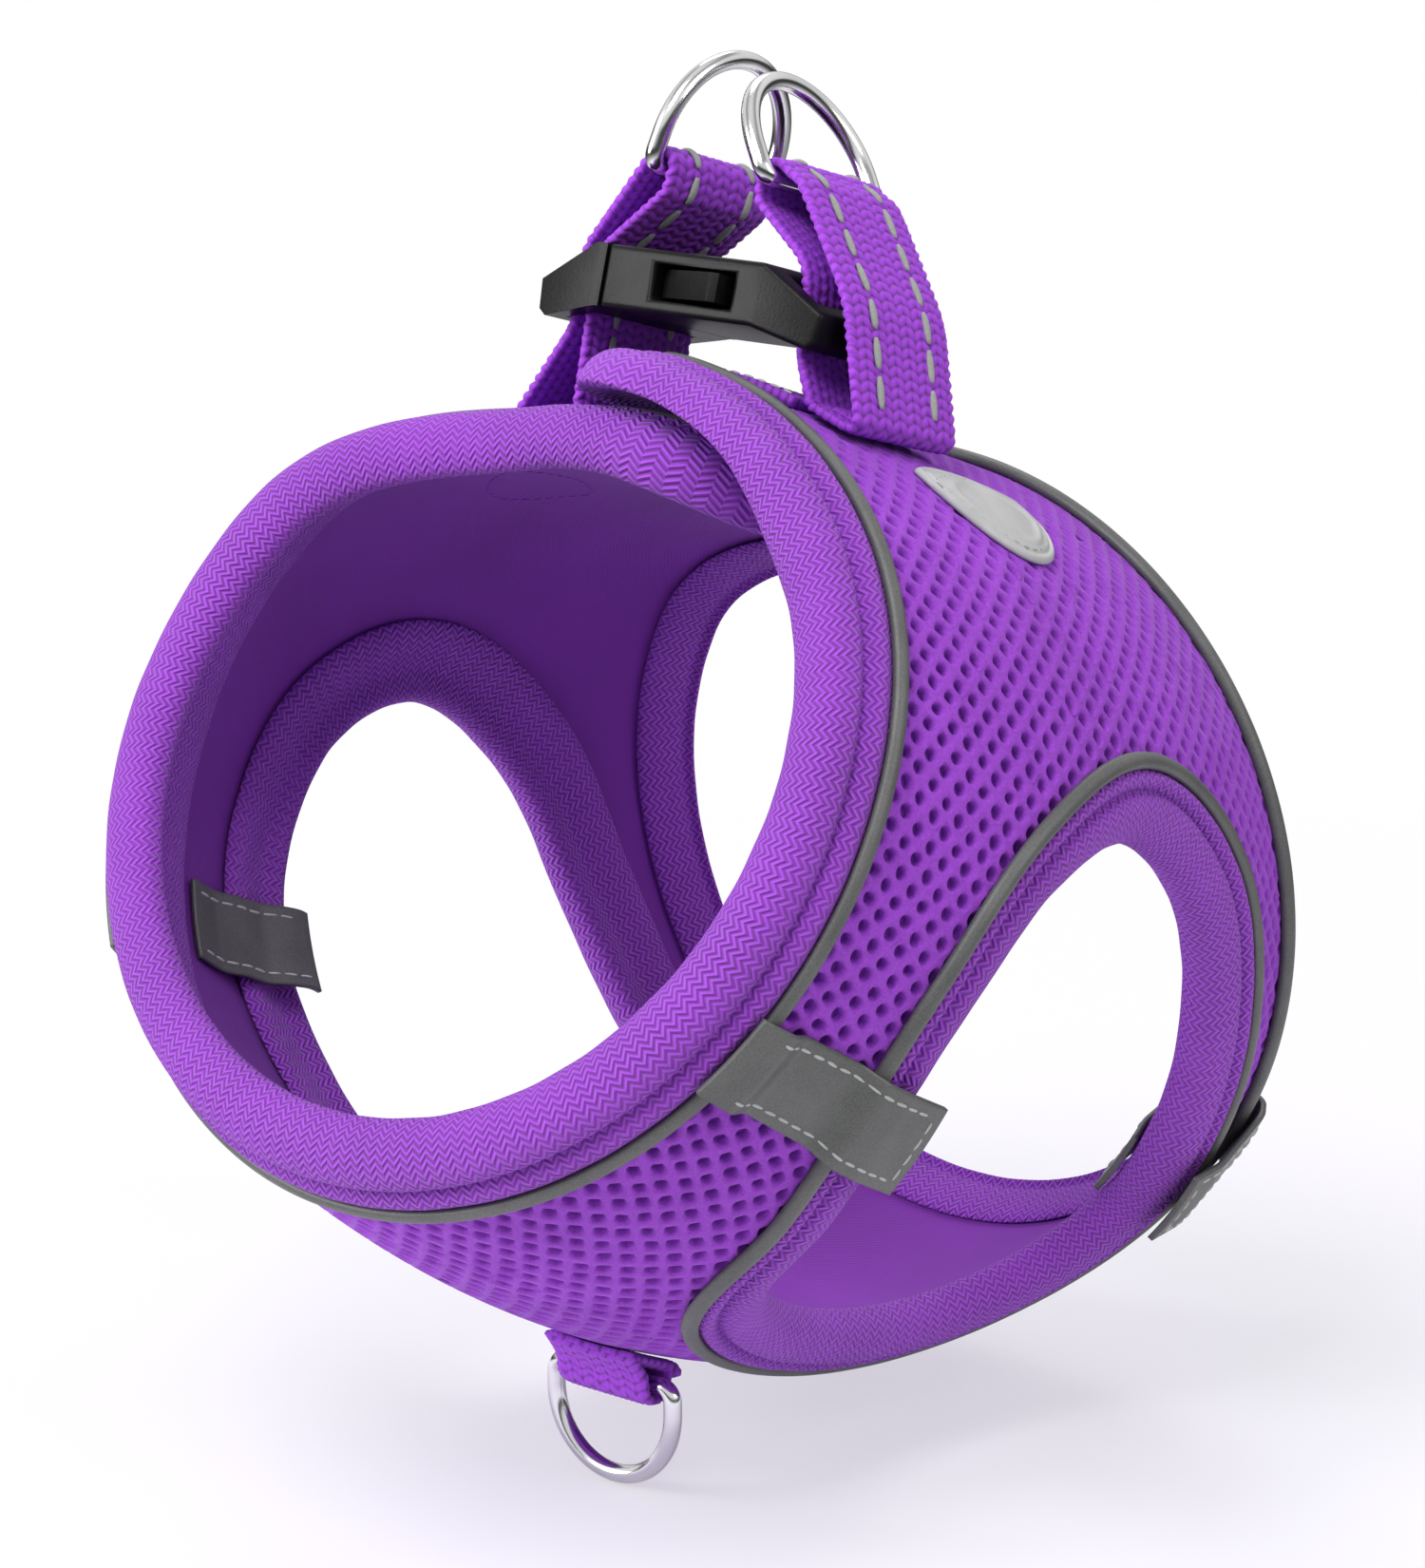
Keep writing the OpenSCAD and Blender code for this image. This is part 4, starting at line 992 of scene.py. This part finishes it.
# closure pads and the strap under the buckle
for name, node, shift, low in (("hook_pad_pile", "hook_patch", 0.0, -SKIN_T - GAP - 1.6), ("loop_pad_pile", "loop_patch", 360.0, GAP / 2)):
    G, V = np.meshgrid(np.linspace(4, 13, 40), np.linspace(0.2, 0.8, 120), indexing="ij")
    pile = 0.12 * rng.normal(0, 1, G.shape).clip(-1.5, 1.5)
    on_skin(name, node, G + shift, V, np.full_like(G, low), 1.35, M_PAD, pile)
STRAP_V = WEB_W / float(np.linalg.norm(skin(0, 1) - skin(0, 0))) / 2
G, A = np.meshgrid(np.linspace(1, 19, 70), np.linspace(-1, 1, 61), indexing="ij")
weave = woven(G * MM_G, A * WEB_W / 2, 1.35, 0.2)
on_skin("back_strap_webbing", "back_strap", G, HW_V + STRAP_V * A, np.full_like(G, GAP), 1.2, M_WEB, weave)
g = np.linspace(1.6, 18.4, 60)
rows = [skin_line(g, HW_V + STRAP_V * a, GAP + 1.4) for a in (-0.82, 0.82)]
stitches("back_strap_stitches", rows, M_PALE, "vest", 1.6, 2.3, 0.34, 0.18)

# tabs that wrap round the rear strips
TAB_T = 0.8
TAB_OUTER = [(-18.6, 2.2), (-13, 3.5), (-8, 3.5), (1, 3.5), (3.7, 2.4), (4.5, 0), (4.5, -4.4), (3.4, -7), (1, -7.8),
             (-8, -8), (-14, -8.6), (-18.6, -8.2)]
TAB_INNER = [(-18.6, 2.2 - TAB_T), (-13, 3.5 - TAB_T), (-8, 3.5 - TAB_T), (0.9, 3.5 - TAB_T), (3.1, 1.9), (3.7, 0),
             (3.7, -4.2), (2.9, -6.4), (0.9, -7.8 + TAB_T), (-8, -8 + TAB_T), (-14, -8.6 + TAB_T),
             (-18.6, -8.2 + TAB_T)]


def eased(points):
    q, _ = evenly(points, 0.25)
    return np.concatenate([q[:1], blur(q, 7)[1:-1], q[-1:]])


for side_name, left in (("left", True), ("right", False)):
    g = np.linspace(134.0, 121.5, 40) if left else np.linspace(238.5, 226.0, 40)
    line = np.stack([g, np.ones_like(g)], -1)
    p, off, up = line_frames(line, False)
    outer, inner = eased(TAB_OUTER), eased(TAB_INNER)
    k = min(len(outer), len(inner))
    outer = evenly(outer, 0.25)[0][np.linspace(0, len(evenly(outer, 0.25)[0]) - 1, k).astype(int)]
    inner = inner[np.linspace(0, len(inner) - 1, k).astype(int)]

    def tab_points(profile):
        return p[:, None] + off[:, None] * profile[None, :, :1] + up[:, None] * profile[None, :, 1:]
    tab = shell(side_name + "_tab_tape", tab_points(outer), tab_points(inner), M_GREY)
    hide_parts(side_name + "_strip_tab")
    tangent = unit(np.gradient(outer, axis=0))
    facing = np.stack([-tangent[:, 1], tangent[:, 0]], -1)
    facing = facing * (1 if facing[k // 4, 1] > 0 else -1)
    grid, normal = tab_points(outer), off[:, None] * facing[None, :, :1] + up[:, None] * facing[None, :, 1:]
    rows = []
    for lo, hi in ((6, int(k * 0.36)), (int(k * 0.68), k - 6)):
        for i in (4, 35):
            rows.append((grid[i, lo:hi], normal[i, lo:hi]))
        for j in (lo, hi):
            rows.append((grid[4:36, j], normal[4:36, j]))
    sewn = stitches(side_name + "_tab_stitches", rows, M_PALE, "vest", 1.7, 2.35, 0.42, 0.2)

# ---- the chest ring's tab ------------------------------------------------------------------------------------------
CHEST_V, CHEST_DROP, CHEST_REACH, TAB_W = 0.39, 3.8, 14.8, 15.0
chest_bar = skin(180, CHEST_V) + np.array([0, 0, -CHEST_DROP])
slope = skin(180, CHEST_V + 0.02) - skin(180, CHEST_V - 0.02)
fall = slope[2] / slope[1]
tab_top = CHEST_DROP - GAP - WEB_T / 2 - 0.5
a = np.radians(np.arange(20, -201, -8))
flat = [(-4.6, tab_top - 4.6 * fall), (4.6, tab_top + 4.6 * fall)] + list(zip(FOLD_R * np.cos(a), FOLD_R * np.sin(a)))
flat = rounded(flat + [flat[0]], 1.0)
path = chest_bar + np.stack([np.zeros(len(flat)), flat[:, 0], flat[:, 1]], -1)
tab, p, out, s = strap("chest_tab_webbing", path, (1, 0, 0), M_WEB, "vest", TAB_W, WEB_T, 0.9, 0.16)
belly = skin(np.linspace(160, 200, 80), CHEST_V)
order = np.argsort(belly[:, 0])
for vertex in tab.data.vertices:
    sideways, height = vertex.co.x / MM, vertex.co.z / MM - chest_bar[2]
    rise = np.interp(sideways, belly[order, 0], belly[order, 2]) - belly[:, 2].min() + 0.35
    vertex.co.z += float(rise * smooth((height - 0.2) / (tab_top - 0.8))) * MM
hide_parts("chest_ring_tab")


# ---- rings ---------------------------------------------------------------------------------------------------------
def wire_ring(name, node, body, centre, x_axis, z_axis, radius, reach, corner=1.9):
    """A D-ring bent from round wire, its bar along x and its arc towards z"""
    leg = reach - RING_D / 2 - radius
    arc = np.radians(np.linspace(0, 180, 90))
    c = np.radians(np.linspace(0, 90, 14))
    flat = np.concatenate([
        np.stack([radius * np.cos(arc), leg + radius * np.sin(arc)], -1),
        np.stack([-radius + corner * (1 - np.cos(c)), corner * (1 - np.sin(c))], -1),
        np.stack([radius - corner * (1 - np.cos(c[::-1])), corner * (1 - np.sin(c[::-1]))], -1)])
    flat, _ = evenly(np.concatenate([flat, flat[:1]]), 0.35)
    flat = flat[:-1]
    p = centre + flat[:, :1] * x_axis + flat[:, 1:] * z_axis
    along = unit(np.roll(p, -1, 0) - np.roll(p, 1, 0))
    y_axis = np.cross(z_axis, x_axis)
    out = unit(np.cross(along, y_axis))
    th = np.arange(24) * 2 * math.pi / 24
    ring = out[:, None] * np.cos(th)[None, :, None] + y_axis * np.sin(th)[None, :, None]
    obj = add_mesh(name, p[:, None] + ring * RING_D / 2, grid_faces(len(p), 24, True, True), M_METAL, None, body)
    fix_normals(obj)
    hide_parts(node)
    return obj


LEASH_R = WEB_W / 2 + 0.3 + RING_D / 2
for side_name, sign, lean in (("left", 1, LEFT_LEAN), ("right", -1, RIGHT_LEAN)):
    z_axis = HW_Z * cosd(lean) - sign * HW_X * sind(lean)
    wire_ring(side_name + "_leash_ring_wire", side_name + "_leash_ring", side_name + "_ring",
              hw(sign * FOLD_X, 0, FOLD_H), HW_Y, z_axis, LEASH_R, RING_REACH)
wire_ring("chest_ring_wire", "chest_ring", "chest_ring_body", chest_bar, HW_X, np.array([0, 0, -1.0]),
          TAB_W / 2 + 1.2 + RING_D / 2, CHEST_REACH)


# ---- buckle: the CAD's shapes with moulded edges -----------------------------------------------------------------------
def moulded(name, node, body, radius, proud=0.0):
    """A CAD shape with moulded edges; proud lifts a latch arm's pad out of its window"""
    obj = bpy.data.objects.new(name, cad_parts[node].data.copy())
    bpy.context.scene.collection.objects.link(obj)
    bm = bmesh.new()
    bm.from_mesh(obj.data)
    bmesh.ops.remove_doubles(bm, verts=bm.verts, dist=1e-6)
    bmesh.ops.dissolve_limit(bm, angle_limit=math.radians(1.5), verts=bm.verts, edges=bm.edges)
    sharp = [e for e in bm.edges if len(e.link_faces) == 2 and e.calc_face_angle(0) > math.radians(14)]
    bmesh.ops.bevel(bm, geom=sharp, offset=radius * MM, segments=4, profile=0.55, affect="EDGES",
                    clamp_overlap=True, loop_slide=True)
    bmesh.ops.triangulate(bm, faces=[f for f in bm.faces if len(f.verts) > 4])
    bmesh.ops.recalc_face_normals(bm, faces=bm.faces)
    if proud:
        away = [(np.array(v.co) / MM - HW_AT) @ HW_Y * np.sign(proud) for v in bm.verts]
        for v, y in zip(bm.verts, away):
            v.co += Vector(HW_Y * proud * MM * float(smooth((y - max(away) + 1.0) / 0.4)))
    bm.to_mesh(obj.data)
    bm.free()
    obj.data.materials.clear()
    obj.data.materials.append(M_BUCKLE)
    obj.data.shade_smooth()
    obj.data.set_sharp_from_angle(angle=math.radians(32))
    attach(obj, body)
    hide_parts(node)
    return obj


moulded("buckle_socket_moulding", "buckle_socket", "vest", 0.75)
moulded("buckle_plug_moulding", "buckle_plug", "plug_strap", 0.7)
moulded("latch_arm_front_moulding", "latch_arm_front", "front_arm", 0.55, -1.2)
moulded("latch_arm_rear_moulding", "latch_arm_rear", "rear_arm", 0.55, 1.2)

# ---- floor, lights ----------------------------------------------------------------------------------------------
floor_z = cad_box[0][2] - 0.0004
bpy.ops.mesh.primitive_plane_add(size=12, location=(0, 0, floor_z))
floor = bpy.context.object
floor.name = "floor"
f = Nodes("floor_white", 0.9)
f.bsdf.inputs["Base Color"].default_value = (0.86, 0.85, 0.89, 1)
FLOOR_NEAR, FLOOR_FAR = 0.10, 0.42
reach = f.new("ShaderNodeVectorMath", operation="LENGTH")
f.link(f.where(), reach.inputs[0])
fade = f.new("ShaderNodeMapRange", interpolation_type="SMOOTHSTEP")
f.link(reach.outputs["Value"], fade.inputs["Value"])
for socket, amount in zip(("From Min", "From Max", "To Min", "To Max"), (FLOOR_NEAR, FLOOR_FAR, 0.0, 1.0)):
    fade.inputs[socket].default_value = amount
pale, rays, soft = f.new("ShaderNodeEmission"), f.new("ShaderNodeLightPath"), f.new("ShaderNodeMixShader")
pale.inputs["Color"].default_value = (0.88, 0.86, 0.92, 1)
f.link(f.math("MULTIPLY", rays.outputs["Is Camera Ray"], 0.6), soft.inputs[0])
f.link(f.bsdf.outputs[0], soft.inputs[1])
f.link(pale.outputs[0], soft.inputs[2])
clear, mixed = f.new("ShaderNodeBsdfTransparent"), f.new("ShaderNodeMixShader")
f.link(fade.outputs["Result"], mixed.inputs[0])
f.link(soft.outputs[0], mixed.inputs[1])
f.link(clear.outputs[0], mixed.inputs[2])
f.link(mixed.outputs[0], f.t.nodes["Material Output"].inputs["Surface"])
floor.data.materials.append(f.mat)



# Brightness of the studio that gloss sees, from straight below (0) to straight above (1)
PANELS = ((0.02, 0.6), (0.3, 0.42), (0.42, 0.05), (0.56, 0.06), (0.62, 0.85), (0.8, 1.0), (0.9, 0.35))


def studio_world(strength):
    """Even soft light; the camera sees white, and gloss sees pale panels with dark gaps between them"""
    world = bpy.data.worlds.new("world")
    bpy.context.scene.world = world
    world.use_nodes = True
    t = world.node_tree
    soft = t.nodes["Background"]
    soft.inputs[0].default_value, soft.inputs[1].default_value = (1, 1, 1, 1), strength
    rays, way = t.nodes.new("ShaderNodeLightPath"), t.nodes.new("ShaderNodeTexCoord")
    split = t.nodes.new("ShaderNodeSeparateXYZ")
    t.links.new(way.outputs["Generated"], split.inputs[0])
    height = t.nodes.new("ShaderNodeMath")
    height.operation, height.inputs[1].default_value, height.inputs[2].default_value = "MULTIPLY_ADD", 0.5, 0.5
    t.links.new(split.outputs[2], height.inputs[0])
    ramp = t.nodes.new("ShaderNodeValToRGB")
    for place, level in PANELS:
        step = ramp.color_ramp.elements.new(place)
        step.color = (level, level, level, 1)
    t.links.new(height.outputs[0], ramp.inputs[0])
    panels, white = t.nodes.new("ShaderNodeBackground"), t.nodes.new("ShaderNodeBackground")
    t.links.new(ramp.outputs[0], panels.inputs[0])
    white.inputs[0].default_value = (1, 1, 1, 1)
    first, second = t.nodes.new("ShaderNodeMixShader"), t.nodes.new("ShaderNodeMixShader")
    t.links.new(rays.outputs["Is Glossy Ray"], first.inputs[0])
    t.links.new(soft.outputs[0], first.inputs[1])
    t.links.new(panels.outputs[0], first.inputs[2])
    t.links.new(rays.outputs["Is Camera Ray"], second.inputs[0])
    t.links.new(first.outputs[0], second.inputs[1])
    t.links.new(white.outputs[0], second.inputs[2])
    t.links.new(second.outputs[0], t.nodes["World Output"].inputs["Surface"])


studio_world(0.5)


def area_light(name, azimuth, elevation, distance, size, power):
    a, e = math.radians(azimuth), math.radians(elevation)
    d = Vector((math.sin(a) * math.cos(e), -math.cos(a) * math.cos(e), math.sin(e)))
    data = bpy.data.lights.new(name, "AREA")
    data.energy, data.size = power, size
    lamp = bpy.data.objects.new(name, data)
    lamp.location = d * distance
    lamp.rotation_euler = d.to_track_quat("Z", "Y").to_euler()
    bpy.context.scene.collection.objects.link(lamp)


area_light("key", 10, 55, 1.1, 0.5, 8.5)
area_light("side", 95, 30, 1.3, 0.6, 5)
area_light("fill", -40, 18, 1.4, 0.7, 15)
area_light("rim", 220, 50, 1.4, 0.6, 5)
bpy.context.scene.view_settings.view_transform = "Standard"
